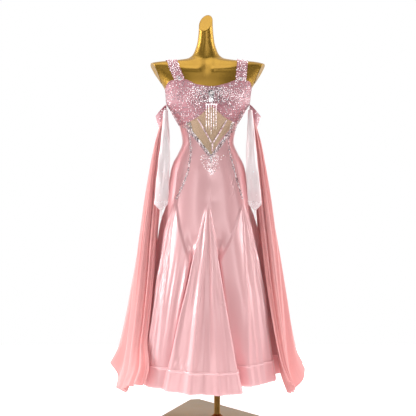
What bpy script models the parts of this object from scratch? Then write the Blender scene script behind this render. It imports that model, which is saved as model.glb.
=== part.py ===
"""Ballroom dance dress on a limbless dress form, at its real size in metres.

The front faces -Y and +Z is up. The origin is on the floor below the dress's centre line. Names say left
and right as the wearer would, so right is on the -X side. An azimuth is measured round the dress from the
front, towards +X, in degrees.
"""
import math

import bmesh
import bpy
import numpy as np
from mathutils import Matrix, Vector

# ---------------------------------------------------------------- driving sizes
CLOTH = 0.0015           # thickness of the satin and of its lining fabric together
SHEER = 0.0010           # thickness of the mesh inset
CHIFFON = 0.0012         # thickness of the floats with their rolled edge
SEAM = 0.0003            # clearance between neighbouring pieces
TRIM_LIFT = 0.0014       # height of the trims' underside over the cloth, which its facets need
EASE = 0.0060            # clearance between the cloth and the dress form

GODET_TOP = 0.838        # height where the godets start
HEM = 0.157              # nominal height of the hem
SKIRT_ROWS = 9
FOLD_TURN = 0.8          # power by which the folds turn from their azimuth at the top to that at the hem
GODET_GROWTH = 0.85      # power by which a godet widens towards the hem
GORE_COLUMNS = 5
GODET_COLUMNS = 8
GODET_TIP = 0.008        # width of a godet at its top
BAND_HEIGHT = 0.077      # folded hem band
BAND_CORD = 0.007        # height of the corded edge at the band's top
BAND_LIFT = 0.0022       # how far the cord stands out
CLOSE_LIFT = 0.0009      # the same where the cloth is flatter
BAND_UNDER = 0.0010      # height of the band's underside over the skirt, which its facets need

CENTRE = 8.0             # azimuth of the bodice's centre line: the bodice is turned a little on the form
SIDE_SEAM = 92.0
V_TOP = 1.137            # height of the V's two upper corners
V_INSET = 1.5            # degrees from a corner of the V to the mesh's short side edge
V_SHORT = 0.003          # length of that edge
V_POINT = 1.012          # height of the lowest point of the V

# Torso, from the form's underside to its neck. height, half width, depth to the front and to the back, and
# the power of the rounded section (2 is an ellipse).
TORSO = (
    (0.780, 0.156, 0.116, 0.122, 2.0),
    (0.838, 0.160, 0.120, 0.126, 2.0),
    (0.865, 0.158, 0.118, 0.126, 2.0),
    (0.926, 0.148, 0.113, 0.118, 2.0),
    (0.957, 0.143, 0.108, 0.108, 2.0),
    (0.988, 0.133, 0.100, 0.096, 2.0),
    (1.019, 0.116, 0.092, 0.086, 2.0),
    (1.065, 0.099, 0.084, 0.078, 2.0),
    (1.115, 0.107, 0.087, 0.084, 2.0),
    (1.149, 0.121, 0.095, 0.090, 2.0),
    (1.179, 0.140, 0.104, 0.096, 2.1),
    (1.210, 0.158, 0.110, 0.098, 2.2),
    (1.240, 0.163, 0.108, 0.098, 2.2),
    (1.300, 0.194, 0.086, 0.090, 2.2),
    (1.340, 0.225, 0.068, 0.080, 2.3),
    (1.362, 0.236, 0.055, 0.068, 2.4),
    (1.374, 0.200, 0.047, 0.060, 2.4),
    (1.384, 0.120, 0.042, 0.054, 2.2),
    (1.397, 0.068, 0.040, 0.050, 2.0),
    (1.415, 0.050, 0.038, 0.044, 2.0),
    (1.445, 0.040, 0.036, 0.038, 2.0),
    (1.490, 0.035, 0.034, 0.034, 2.0),
    (1.560, 0.032, 0.032, 0.032, 2.0),
)
BUST = dict(azimuth=35.0, height=1.203, spread=24.0, rise=0.040, swell=0.014)
NECK_SHIFT = -0.008      # the neck stands a little to the wearer's right
NECK_FROM, NECK_TO = 1.30, 1.39   # heights between which the form's sections shift
FORM_RING = 32
ARM_CUT = ((0.165, 1.250), (0.217, 1.362))   # x and height of the lower and upper end of the arm's cut face
ARM_CUT_FROM = 1.10      # the arms' cut runs out into the waist above this height
# The neck's cut face: its height at the middle, its slopes towards +Y and +X, and where the cut may start.
NECK_CUT = dict(height=1.508, back=1.26, side=0.46, above=1.4)

# Upper edge of the bodice. azimuth, height.
TOP_EDGE = (
    (-180, 1.195), (-150, 1.215), (-134, 1.240), (-118, 1.238), (-105, 1.212), (-92, 1.208), (-80, 1.245),
    (-72, 1.275), (-63.6, 1.295), (-48.1, 1.296), (-25, 1.278), (8, 1.270), (38, 1.281), (55.6, 1.294),
    (68.4, 1.293), (76, 1.270), (82, 1.240), (92, 1.208), (105, 1.212), (118, 1.238), (134, 1.240),
    (150, 1.215), (180, 1.195),
)
# Lower edge of the cups. distance from the bodice's centre line, height.
CUP_EDGE = ((0.0, 1.200), (0.020, 1.184), (0.051, 1.158), (0.093, 1.137), (0.130, 1.127), (0.180, 1.125))
# Front seams, from the V's corners to the front godets. height, x of the right one and of the left one.
FRONT_SEAMS = (
    (0.838, -0.124, 0.131),
    (0.880, -0.104, 0.121),
    (0.920, -0.087, 0.110),
    (0.978, -0.071, 0.094),
    (1.026, -0.064, 0.082),
    (1.070, -0.067, 0.078),
    (1.110, -0.0745, 0.0905),
    (1.137, -0.0825, 0.1025),
)
# Folds of the skirt, crest and valley by turns. azimuth at the godets' tops, azimuth, radius and height at
# the hem.
FOLDS = (
    (-142, -131, 0.286, 0.160),
    (-121, -107, 0.205, 0.165),
    (-100, -88, 0.280, 0.170),
    (-80, -71, 0.212, 0.168),
    (-62, -59, 0.285, 0.162),
    (-54, -48, 0.287, 0.158),
    (-30, -38, 0.238, 0.157),
    (-4, -26, 0.287, 0.157),
    (4, 12, 0.289, 0.152),
    (32, 27, 0.208, 0.160),
    (56, 40, 0.264, 0.164),
    (68, 62, 0.284, 0.170),
    (82, 77, 0.240, 0.172),
    (100, 91, 0.304, 0.172),
    (121, 109, 0.205, 0.165),
    (142, 132, 0.286, 0.160),
    (161, 157, 0.208, 0.160),
    (180, 180, 0.286, 0.158),
    (199, 203, 0.208, 0.160),
)
# Godets, front first and round by the left. name, azimuth of the top, azimuths of the two edges at the hem.
GODETS = (
    ("front", 0.0, -33.0, 20.0),
    ("front_left", 62.3, 33.0, 70.0),
    ("side_left", 100.0, 83.0, 101.0),
    ("back_left", 142.0, 120.0, 145.0),
    ("back", 180.0, 168.0, 192.0),
    ("back_right", 218.0, 216.0, 241.0),
    ("side_right", 260.0, 261.0, 281.0),
    ("front_right", 301.4, 295.0, 318.0),
)
# x of the strap's middle where it leaves the cup, on the shoulder and where it joins the back.
STRAPS = (("right", -0.107, -0.142, -0.104), ("left", 0.124, 0.131, 0.106))
STRAP_WIDTH = 0.038
STRAP_SEAT = 0.0014      # height of a strap over the true curve of the shoulder, where it carries the dress

SIDES = (("right", -1), ("left", 1))
# Armband: an empty ring that hangs from the underarm. Heights of its upper and lower edge at the body and
# at the outer side.
ARMBAND = dict(body_gap=0.0005, half_width=0.0215, taper=0.012, half_depth=0.045, top=(1.208, 1.161),
               bottom=(1.188, 1.118), float_gap=0.0006)
# Sleeve, an empty flattened tube. height, x and y of the middle, half width, half depth.
SLEEVE = (
    (1.186, 0.1600, -0.0468, 0.0090, 0.0130),
    (1.140, 0.1600, -0.0640, 0.0125, 0.0140),
    (1.060, 0.1620, -0.0740, 0.0180, 0.0145),
    (0.960, 0.1670, -0.0820, 0.0235, 0.0140),
    (0.880, 0.1720, -0.0860, 0.0265, 0.0130),
    (0.832, 0.1765, -0.0880, 0.0270, 0.0120),
)
SLEEVE_POINT = 0.032     # length of the point over the hand
LOOP = dict(half_width=0.004, half_height=0.013, wire=0.0012)
# Hem of a float, from its front edge to its back edge. share of the width, azimuth, radius, height.
FLOAT_HEM = (
    (0.00, 45, 0.318, 0.188),
    (0.14, 54, 0.326, 0.176),
    (0.28, 62, 0.350, 0.150),
    (0.40, 70, 0.322, 0.104),
    (0.50, 79, 0.345, 0.112),
    (0.60, 90, 0.374, 0.207),
    (0.72, 100, 0.336, 0.166),
    (0.84, 111, 0.352, 0.118),
    (1.00, 128, 0.322, 0.172),
)
ARMBAND_STEP = 12        # degrees between an armband's points, which the float below it shares
# Outline of a float at its outer side. share of its height from the top, distance out from the armband.
FLOAT_OUTLINE = ((0.00, 0.000), (0.13, 0.026), (0.31, 0.053), (0.50, 0.085), (0.68, 0.113), (0.84, 0.138),
                 (0.93, 0.156), (1.00, 0.184))
FLOAT_WIDEN = 0.045      # growth of the bundle's half width over the float's height
FLOAT_DRIFT = 0.012      # how far the bundle hangs back from the sleeve
FLOAT_COLUMNS = 24
FLOAT_ROWS = 12
FLOAT_FOLDS = 4.5        # soft folds across a float
FLOAT_FOLD_DEPTH = 0.007
FLOAT_BUNDLE = 0.30      # share of a float's height over which it stays gathered

POLE = dict(x=0.035, y=-0.060, radius=0.012, foot=0.025, foot_edge=0.005, foot_height=0.012)
PLATE = dict(thickness=0.010, centre=(-0.009, -0.060), reach=0.290, length=0.435, half_angle=34.0,
             turn=10.0, chamfer=0.033)

SATIN = ("satin", (0.86, 0.52, 0.54), 0.28, 0.0)
STONES = ("stone_cloth", (0.80, 0.55, 0.58), 0.25, 0.1)
NUDE = ("nude_mesh", (0.72, 0.52, 0.38), 0.70, 0.0)
CORAL = ("chiffon", (0.92, 0.48, 0.48), 0.60, 0.0)
PALE = ("pale_satin", (0.95, 0.82, 0.84), 0.30, 0.0)
CRYSTAL = ("crystal", (0.88, 0.88, 0.90), 0.08, 0.3)
GOLD = ("gold_lacquer", (0.55, 0.38, 0.12), 0.30, 0.8)
GOLD_STEEL = ("gold_plate", (0.45, 0.31, 0.10), 0.35, 0.9)


# ---------------------------------------------------------------- smooth curves through tables
def smooth(x, xs, ys):
    """Value at x of a monotone cubic curve through the points."""
    xs, ys = np.asarray(xs, float), np.asarray(ys, float)
    x = min(max(x, xs[0]), xs[-1])
    i = min(max(int(np.searchsorted(xs, x)) - 1, 0), len(xs) - 2)
    steps = np.diff(ys) / np.diff(xs)

    def slope(k):
        if k == 0 or k == len(xs) - 1:
            return steps[min(k, len(steps) - 1)]
        a, b = steps[k - 1], steps[k]
        return 0.0 if a * b <= 0 else 2 * a * b / (a + b)

    h = xs[i + 1] - xs[i]
    t = (x - xs[i]) / h
    return float(ys[i] * (1 + 2 * t) * (1 - t) ** 2 + ys[i + 1] * t * t * (3 - 2 * t)
                 + h * slope(i) * t * (1 - t) ** 2 - h * slope(i + 1) * t * t * (1 - t))


def column(table, index):
    return [row[index] for row in table]


def ease(t):
    """Smooth step from 0 to 1."""
    t = min(max(t, 0.0), 1.0)
    return t * t * (3 - 2 * t)


def mix(a, b, t):
    return a + (b - a) * t


# ---------------------------------------------------------------- the dress's outer surface
def section(height):
    """Half width, front depth, back depth and power of the torso's section."""
    return [smooth(height, column(TORSO, 0), column(TORSO, k)) for k in range(1, 5)]


def torso_radius(azimuth, height):
    """Distance of the cloth's outer side from the centre line."""
    width, front, back, power = section(height)
    a = math.radians(azimuth)
    depth = front if math.cos(a) > 0 else back
    r = (abs(math.sin(a) / width) ** power + abs(math.cos(a) / depth) ** power) ** (-1 / power)
    for side in (-1, 1):
        off = (azimuth - CENTRE - side * BUST["azimuth"] + 180) % 360 - 180
        up = (height - BUST["height"]) / BUST["rise"]
        r += BUST["swell"] * math.exp(-(off / BUST["spread"]) ** 2 - up * up)
    return r


def fold_value(azimuth, share, index):
    """Hem radius (index 2) or hem height (index 3) at an azimuth, with the folds' azimuths taken at
    that share of the skirt's length."""
    spots = [mix(row[0], row[1], share ** FOLD_TURN) for row in FOLDS]
    a = (azimuth - spots[0]) % 360 + spots[0]
    spots = spots + [spots[0] + 360]
    values = column(FOLDS, index) + [FOLDS[0][index]]
    k = max(i for i in range(len(FOLDS)) if spots[i] <= a + 1e-9)
    wave = (1 - math.cos(math.pi * (a - spots[k]) / (spots[k + 1] - spots[k]))) / 2
    return mix(values[k], values[k + 1], wave)


def dress_point(azimuth, height):
    """A point of the cloth's outer side. Below the godets' tops the height is nominal: the real hem
    rises and falls a little."""
    if height >= GODET_TOP:
        r, z = torso_radius(azimuth, height), height
    else:
        share = (GODET_TOP - height) / (GODET_TOP - HEM)
        r = mix(torso_radius(azimuth, GODET_TOP), fold_value(azimuth, share, 2), share)
        z = mix(GODET_TOP, fold_value(azimuth, share, 3), share)
    a = math.radians(azimuth)
    return Vector((r * math.sin(a), -r * math.cos(a), z))


def lifted(azimuth, height, lift):
    """A point moved out along the surface's normal by lift."""
    d_az, d_h = 0.5, 0.002
    across = dress_point(azimuth + d_az, height) - dress_point(azimuth - d_az, height)
    up = dress_point(azimuth, height + d_h) - dress_point(azimuth, height - d_h)
    return dress_point(azimuth, height) + across.cross(up).normalized() * lift


def front_azimuth(x, height):
    """Azimuth at which the front of the dress has this x."""
    low, high = -89.0, 89.0
    for _ in range(40):
        middle = (low + high) / 2
        if dress_point(middle, height).x < x:
            low = middle
        else:
            high = middle
    return (low + high) / 2


def top_edge(azimuth):
    a = (azimuth + 180) % 360 - 180
    return smooth(a, column(TOP_EDGE, 0), column(TOP_EDGE, 1))


def cup_edge(azimuth):
    """Height of the cups' lower edge at an azimuth."""
    height = 1.15
    for _ in range(6):
        x = dress_point(azimuth, height).x
        height = smooth(abs(x - CENTRE_X), column(CUP_EDGE, 0), column(CUP_EDGE, 1))
    return height


def front_seam(height, side):
    """Azimuth of a front seam."""
    x = smooth(height, column(FRONT_SEAMS, 0), column(FRONT_SEAMS, 1 if side < 0 else 2))
    return front_azimuth(x, height)


CENTRE_X = dress_point(CENTRE, 1.1).x


# ---------------------------------------------------------------- solids from grids
def material(finish):
    name, colour, roughness, metallic = finish
    found = bpy.data.materials.get(name)
    if found:
        return found
    made = bpy.data.materials.new(name)
    made.use_nodes = True
    shader = made.node_tree.nodes["Principled BSDF"]
    shader.inputs["Base Color"].default_value = (*colour, 1)
    shader.inputs["Roughness"].default_value = roughness
    shader.inputs["Metallic"].default_value = metallic
    return made


def put(name, mesh, finish):
    """An object in the dress's collection, shaded smooth but for sharp edges."""
    made = bpy.data.objects.new(name, mesh)
    bpy.data.collections["ballroom_dress"].objects.link(made)
    mesh.materials.append(material(finish))
    mesh.shade_smooth()
    mesh.set_sharp_from_angle(angle=math.radians(50))
    return made


def wall(name, outer, inner, finish, ring=False):
    """A closed wall between two grids of points, row by row from the bottom. A ring's columns join up."""
    shape = bmesh.new()
    grids = [[[shape.verts.new(p) for p in row] for row in grid] for grid in (outer, inner)]
    out, inn = grids
    rows, columns = len(out), len(out[0])
    spans = [(j, (j + 1) % columns) for j in range(columns if ring else columns - 1)]
    for i in range(rows - 1):
        for j, k in spans:
            for a, b, c in (((i, j), (i, k), (i + 1, k)), ((i, j), (i + 1, k), (i + 1, j))):
                shape.faces.new((out[a[0]][a[1]], out[b[0]][b[1]], out[c[0]][c[1]]))
                shape.faces.new((inn[a[0]][a[1]], inn[c[0]][c[1]], inn[b[0]][b[1]]))
    for j, k in spans:
        shape.faces.new((out[0][k], out[0][j], inn[0][j], inn[0][k]))
        shape.faces.new((out[-1][j], out[-1][k], inn[-1][k], inn[-1][j]))
    if not ring:
        for i in range(rows - 1):
            shape.faces.new((out[i][0], out[i + 1][0], inn[i + 1][0], inn[i][0]))
            shape.faces.new((out[i + 1][-1], out[i][-1], inn[i][-1], inn[i + 1][-1]))
    bmesh.ops.recalc_face_normals(shape, faces=shape.faces)
    mesh = bpy.data.meshes.new(name)
    shape.to_mesh(mesh)
    shape.free()
    return put(name, mesh, finish)


def cloth_panel(name, grid, finish, thickness=CLOTH, lift=0.0):
    """A wall over a grid of (azimuth, height), its outer side lifted from the dress's surface."""
    outer = [[lifted(a, h, lift) for a, h in row] for row in grid]
    inner = [[lifted(a, h, lift - thickness) for a, h in row] for row in grid]
    return wall(name, outer, inner, finish)


def trimmed(azimuths, height, left=True, right=True):
    """Azimuths of a row with its two ends drawn in by half a seam."""
    trim = math.degrees(SEAM / 2 / (dress_point(azimuths[0], height).xy.length))
    row = list(azimuths)
    row[0] += trim if left else 0.0
    row[-1] -= trim if right else 0.0
    return row


def spread(low, high, count):
    return [mix(low, high, i / count) for i in range(count + 1)]


def rows_between(azimuths, low, high, count):
    """Grid whose columns run from low(azimuth) to high(azimuth), drawn in by half a seam."""
    grid = []
    for t in spread(0.0, 1.0, count):
        row = trimmed(azimuths, 1.1)
        grid.append([(a, mix(low(b) + SEAM / 2, high(b) - SEAM / 2, t)) for a, b in zip(row, azimuths)])
    return grid


# ---------------------------------------------------------------- bodice
def corner_azimuth(side):
    return front_seam(V_TOP, side)


def side_columns(side):
    """Azimuths from the side seam to the V's corner."""
    return sorted(spread(side * SIDE_SEAM, corner_azimuth(side), 5))


def mesh_columns(side):
    """Azimuths of the mesh, from near the V's corner to the centre line."""
    return sorted(spread(corner_azimuth(side) - side * V_INSET, CENTRE, 6))


def mesh_row():
    return mesh_columns(-1) + mesh_columns(1)[1:]


def v_edge(azimuth):
    """Height of the V's edge."""
    side = -1 if azimuth < CENTRE else 1
    reach = abs(dress_point(corner_azimuth(side), V_TOP).x - CENTRE_X)
    height = V_POINT
    for _ in range(6):
        share = min(abs(dress_point(azimuth, height).x - CENTRE_X) / reach, 1.0)
        height = mix(V_POINT, V_TOP - V_SHORT, share)
    return height


def cups():
    for name, side in SIDES:
        azimuths = sorted(set(side_columns(side) + mesh_columns(side)))
        cloth_panel(f"cup_{name}", rows_between(azimuths, cup_edge, top_edge, 6), STONES)


def mesh_inset():
    cloth_panel("mesh_midriff", rows_between(mesh_row(), v_edge, cup_edge, 9), NUDE, SHEER)


def seamed_grid(top, tops, edges, count):
    """Grid from the godets' tops up to the points (top azimuth, top height). Its two sides follow
    edges(height), and the columns between them are spread evenly."""
    shares = [(a - top[0]) / (top[-1] - top[0]) for a in top]
    shifts = [a - mix(*edges(h), share) for a, h, share in zip(top, tops, shares)]
    grid = []
    for t in spread(0.0, 1.0, count):
        heights = [mix(GODET_TOP + SEAM / 2, h - SEAM / 2, t) for h in tops]
        azimuths = [mix(*edges(h), share) + shift * t for h, share, shift in zip(heights, shares, shifts)]
        grid.append(list(zip(trimmed(azimuths, heights[0]), heights)))
    return grid


def front_panel():
    """Hip front, whose upper edge is the V."""
    corners = corner_azimuth(-1), corner_azimuth(1)
    top = [corners[0]] + mesh_row() + [corners[1]]
    tops = [cup_edge(a) if a in corners else v_edge(a) for a in top]
    grid = seamed_grid(top, tops, lambda h: (front_seam(h, -1), front_seam(h, 1)), 10)
    cloth_panel("front_panel", grid, SATIN)


def side_panels():
    for name, side in SIDES:
        top = side_columns(side)
        grid = seamed_grid(top, [cup_edge(a) for a in top],
                           lambda h: sorted((side * SIDE_SEAM, front_seam(h, side))), 10)
        cloth_panel(f"side_{name}", grid, SATIN)


def back_panels():
    for name, side in SIDES:
        azimuths = sorted(spread(side * SIDE_SEAM, side * 180.0, 8))
        cloth_panel(f"back_{name}", rows_between(azimuths, lambda a: GODET_TOP, top_edge, 12), SATIN)


# ---------------------------------------------------------------- skirt
def godet_edges(godet, share):
    """Azimuths of a godet's two edges at a share of the skirt's length."""
    name, top, low, high = godet
    tip = math.degrees(GODET_TIP / 2 / dress_point(top, GODET_TOP).xy.length)
    grow = share ** GODET_GROWTH
    return mix(top - tip, low, grow), mix(top + tip, high, grow)


def skirt_grid(edges, count):
    """Grid from the hem up, between two edges given by edges(share). Its lowest row is the band's."""
    grid = []
    for share in [1.0] + spread(1 - BAND_HEIGHT / (GODET_TOP - HEM), 0.0, SKIRT_ROWS - 1):
        height = mix(GODET_TOP, HEM, share)
        azimuths = trimmed(spread(*edges(share), count), height)
        drop = SEAM / 2 if share == 0 else 0.0
        grid.append([(a, height - drop) for a in azimuths])
    return grid


def unwrapped(low, high):
    """The two azimuths with the second above the first."""
    return low, high if high > low else high + 360


def skirt():
    for godet in GODETS:
        cloth_panel(f"godet_{godet[0]}", skirt_grid(lambda s: godet_edges(godet, s), GODET_COLUMNS), SATIN)
    names = ("front_left", "left_front", "left_back", "back_left",
             "back_right", "right_back", "right_front", "front_right")
    for index, name in enumerate(names):
        first, second = GODETS[index], GODETS[(index + 1) % len(GODETS)]

        def edges(share):
            return unwrapped(godet_edges(first, share)[1], godet_edges(second, share)[0])

        cloth_panel(f"gore_{name}", skirt_grid(edges, GORE_COLUMNS), SATIN)


def round_columns(share):
    """Azimuths of all the skirt's columns at a share of its length."""
    azimuths = []
    for index, godet in enumerate(GODETS):
        low, high = godet_edges(godet, share)
        following = godet_edges(GODETS[(index + 1) % len(GODETS)], share)[0]
        azimuths += spread(low, high, GODET_COLUMNS)[:-1]
        azimuths += spread(*unwrapped(high, following), GORE_COLUMNS)[:-1]
    return azimuths


def hem_band():
    """Folded band round the hem, corded along its upper edge."""
    outer, inner = [], []
    for up, cord in ((0.0, 0.0), (BAND_HEIGHT - BAND_CORD, 0.0), (BAND_HEIGHT, BAND_LIFT)):
        azimuths = round_columns(1 - up / (GODET_TOP - HEM))
        outer.append([lifted(a, HEM + up, BAND_UNDER + CLOTH + cord) for a in azimuths])
        inner.append([lifted(a, HEM + up, BAND_UNDER) for a in azimuths])
    wall("hem_band", outer, inner, SATIN, ring=True)


# ---------------------------------------------------------------- dress form and stand
def form_radius(azimuth, height):
    """Distance of the form's surface from the centre line."""
    return torso_radius(azimuth, height) - (EASE + CLOTH)


def neck_lean(height):
    """Sideways place of the form's section."""
    return NECK_SHIFT * ease((height - NECK_FROM) / (NECK_TO - NECK_FROM))


def form_heights():
    """Heights of the form's rings, closer over the shoulders and the foot of the neck."""
    shoulders = [1.346, 1.358, 1.367, 1.374, 1.379, 1.384, 1.391]
    neck = [1.402, 1.420, 1.450, 1.500, TORSO[-1][0]]
    return spread(TORSO[0][0], 1.330, 20) + shoulders + neck


def dress_form():
    """Limbless form: a loft over the torso's sections, with flat cuts at the arms and the neck."""
    shape = bmesh.new()
    rings = []
    for height in form_heights():
        ring = []
        for k in range(FORM_RING):
            azimuth = 360 * k / FORM_RING
            a, r = math.radians(azimuth), form_radius(azimuth, height)
            ring.append(shape.verts.new((r * math.sin(a) + neck_lean(height), -r * math.cos(a), height)))
        rings.append(ring)
    for low, high in zip(rings, rings[1:]):
        for k in range(FORM_RING):
            n = (k + 1) % FORM_RING
            shape.faces.new((low[k], low[n], high[n], high[k]))
    shape.faces.new(list(reversed(rings[0])))
    shape.faces.new(rings[-1])
    (low_x, low_z), (high_x, high_z) = ARM_CUT
    for side in (-1, 1):
        normal = (side * (high_z - low_z), 0, low_x - high_x)
        cut_flat(shape, (side * low_x, 0, low_z), normal, ARM_CUT_FROM)
    neck_normal = (-NECK_CUT["side"], -NECK_CUT["back"], 1)
    cut_flat(shape, (NECK_SHIFT, 0, NECK_CUT["height"]), neck_normal, NECK_CUT["above"])
    bmesh.ops.recalc_face_normals(shape, faces=shape.faces)
    mesh = bpy.data.meshes.new("dress_form")
    shape.to_mesh(mesh)
    shape.free()
    put("dress_form", mesh, GOLD)


def cut_flat(shape, point, normal, above):
    """Cuts off what lies beyond a plane and above a height, and closes the cut."""
    reached = [v for v in shape.verts if v.co.z > above]
    reached += [e for e in shape.edges if min(v.co.z for v in e.verts) > above]
    reached += [f for f in shape.faces if min(v.co.z for v in f.verts) > above]
    cut = bmesh.ops.bisect_plane(shape, geom=reached, plane_co=point, plane_no=normal, dist=1e-6,
                                 clear_outer=True)["geom_cut"]
    edges = [e for e in cut if isinstance(e, bmesh.types.BMEdge)]
    bmesh.ops.contextual_create(shape, geom=edges)


def pole():
    """Turned pole with a foot, from the plate up to the form's underside."""
    low = PLATE["thickness"] + SEAM
    top = TORSO[0][0] - SEAM
    profile = ((0.0, top), (POLE["radius"], top), (POLE["radius"], low + POLE["foot_height"]),
               (POLE["foot"], low + POLE["foot_edge"]), (POLE["foot"], low), (0.0, low))
    mesh = bpy.data.meshes.new("pole")
    mesh.from_pydata([(x, 0, z) for x, z in profile], [(i, i + 1) for i in range(len(profile) - 1)], [])
    made = put("pole", mesh, GOLD_STEEL)
    turn = made.modifiers.new("turn", "SCREW")
    turn.steps = turn.render_steps = 20
    turn.use_merge_vertices = True
    turn.merge_threshold = 1e-5
    made.location = (POLE["x"], POLE["y"], 0)


def base_plate():
    """Three-sided plate with its corners cut off."""
    turn, half = math.radians(PLATE["turn"]), math.radians(PLATE["half_angle"])
    reach = PLATE["reach"]
    front, side = reach - PLATE["length"], PLATE["length"] * math.tan(half)
    corners = [(0.0, reach), (-side, front), (side, front)]
    outline = []
    for i, corner in enumerate(corners):
        here = Vector(corner)
        for other in (corners[i - 1], corners[(i + 1) % 3]):
            outline.append(here + (Vector(other) - here).normalized() * PLATE["chamfer"])
    mesh = bpy.data.meshes.new("base_plate")
    shape = bmesh.new()
    face = shape.faces.new([shape.verts.new((p.x, p.y, 0)) for p in outline])
    push = bmesh.ops.extrude_face_region(shape, geom=[face])["geom"]
    bmesh.ops.translate(shape, vec=(0, 0, PLATE["thickness"]),
                        verts=[v for v in push if isinstance(v, bmesh.types.BMVert)])
    bmesh.ops.rotate(shape, cent=(0, 0, 0), matrix=Matrix.Rotation(turn, 3, "Z"), verts=shape.verts)
    bmesh.ops.translate(shape, vec=(*PLATE["centre"], 0), verts=shape.verts)
    bmesh.ops.recalc_face_normals(shape, faces=shape.faces)
    shape.to_mesh(mesh)
    shape.free()
    put("base_plate", mesh, GOLD_STEEL)


# ---------------------------------------------------------------- straps
STRAP_HUB = 1.290        # height of the line from which the straps are swept over the shoulders
STRAP_CREST = 0.42       # share of a strap's length from its front end to the top of the shoulder
STRAP_ROWS = 18


def inside_form(x, y, z):
    x -= neck_lean(z)
    return math.hypot(x, y) < form_radius(math.degrees(math.atan2(x, -y)), z)


def form_reach(x, direction):
    """Distance from the hub line at x to the form's surface, along a direction (y, z)."""
    low, high = 0.0, 0.2
    for _ in range(40):
        middle = (low + high) / 2
        if inside_form(x, direction[0] * middle, STRAP_HUB + direction[1] * middle):
            low = middle
        else:
            high = middle
    return low


def strap_end(x, front):
    """Angle from straight up at which the strap meets the bodice's upper edge."""
    angle = -84.0 if front else 124.0
    for _ in range(12):
        a = math.radians(angle)
        reach = form_reach(x, (math.sin(a), math.cos(a))) + EASE + CLOTH
        y = reach * math.sin(a)
        edge = top_edge(math.degrees(math.atan2(x, -y))) + SEAM
        angle = math.degrees(math.atan2(y, edge - STRAP_HUB))
    return angle


def straps():
    for name, front_x, top_x, back_x in STRAPS:
        outer, inner = [], []
        for share in spread(0.0, 1.0, STRAP_ROWS):
            middle = smooth(share, (0.0, STRAP_CREST, 1.0), (front_x, top_x, back_x))
            ease_here = mix(EASE, STRAP_SEAT, math.sin(math.pi * share))
            out_row, in_row = [], []
            for offset in spread(-STRAP_WIDTH / 2, STRAP_WIDTH / 2, 3):
                x = middle + offset
                ends = strap_end(front_x + offset, True), strap_end(back_x + offset, False)
                a = math.radians(mix(*ends, share))
                direction = (math.sin(a), math.cos(a))
                reach = form_reach(x, direction) + ease_here
                for row, distance in ((out_row, reach + CLOTH), (in_row, reach)):
                    row.append((x, direction[0] * distance, STRAP_HUB + direction[1] * distance))
            outer.append(out_row)
            inner.append(in_row)
        wall(f"strap_{name}", outer, inner, STONES)


# ---------------------------------------------------------------- armbands, sleeves and floats
def armband_ring(side, angle, up):
    """A point of the armband's outer side. The angle runs from the outer side, and up from 0 to 1."""
    inner_x = abs(dress_point(side * 90, ARMBAND["top"][0]).x) + ARMBAND["body_gap"]
    outer_x = inner_x + 2 * ARMBAND["half_width"] - ARMBAND["taper"] * (1 - up)
    turn = math.cos(math.radians(angle))
    k = (1 + turn) / 2
    low, high = mix(*ARMBAND["bottom"], k), mix(*ARMBAND["top"], k)
    middle, half = (inner_x + outer_x) / 2, (outer_x - inner_x) / 2
    return middle, half, ARMBAND["half_depth"], mix(low, high, up)


def ring_point(side, angle, middle, y, half_width, half_depth, z):
    a = math.radians(angle)
    return side * (middle + half_width * math.cos(a)), y + half_depth * math.sin(a), z


def armbands():
    for name, side in SIDES:
        outer, inner = [], []
        for up in (0.0, 0.5, 1.0):
            angles = spread(0, 360, 360 // ARMBAND_STEP)[:-1]
            rings = [(angle, armband_ring(side, angle, up)) for angle in angles]
            outer.append([ring_point(side, a, m, 0, h, d, z) for a, (m, h, d, z) in rings])
            inner.append([ring_point(side, a, m, 0, h - CLOTH, d - CLOTH, z) for a, (m, h, d, z) in rings])
        wall(f"armband_{name}", outer, inner, STONES, ring=True)


def sleeve_size(height):
    """x and y of the middle, half width and half depth of a sleeve."""
    table = sorted(SLEEVE)
    return [smooth(height, column(table, 0), column(table, k)) for k in range(1, 5)]


def sleeves():
    low, high = SLEEVE[-1][0], SLEEVE[0][0]
    for name, side in SIDES:
        outer, inner = [], []
        for share in spread(0.0, 1.0, 9):
            height = mix(low, high, share)
            middle, y, half, depth = sleeve_size(height)
            rows = [], []
            for angle in spread(0, 360, 16)[:-1]:
                point = SLEEVE_POINT * (1 - abs(math.cos(math.radians(angle)))) if share == 0 else 0.0
                for row, inset in zip(rows, (0.0, CLOTH)):
                    halves = half - inset, depth - inset
                    row.append(ring_point(side, angle, middle, y, *halves, height - point))
            outer.append(rows[0])
            inner.append(rows[1])
        wall(f"sleeve_{name}", outer, inner, PALE, ring=True)


def finger_loops():
    """Thin elastic loops under the sleeves' points."""
    for name, side in SIDES:
        middle, y, half, depth = sleeve_size(SLEEVE[-1][0])
        top = SLEEVE[-1][0] - SLEEVE_POINT - SEAM
        wire = LOOP["wire"]
        curve = bpy.data.curves.new(f"loop_path_{name}", "CURVE")
        curve.dimensions = "3D"
        curve.bevel_depth = wire
        curve.bevel_resolution = 1
        spline = curve.splines.new("POLY")
        count = 14
        spline.points.add(count - 1)
        for i in range(count):
            a = math.tau * i / count
            x = side * middle + LOOP["half_width"] * math.sin(a)
            z = top - wire - LOOP["half_height"] * (1 - math.cos(a))
            spline.points[i].co = (x, y - depth + CLOTH / 2, z, 1)
        spline.use_cyclic_u = True
        mesh_from_curve(f"finger_loop_{name}", curve, PALE)


def mesh_from_curve(name, curve, finish):
    """A curve's tube as a mesh of its own."""
    source = bpy.data.objects.new(name + "_curve", curve)
    bpy.data.collections["ballroom_dress"].objects.link(source)
    bpy.context.view_layer.update()
    evaluated = source.evaluated_get(bpy.context.evaluated_depsgraph_get())
    mesh = bpy.data.meshes.new_from_object(evaluated)
    bpy.data.objects.remove(source)
    mesh.materials.clear()
    return put(name, mesh, finish)


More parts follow.
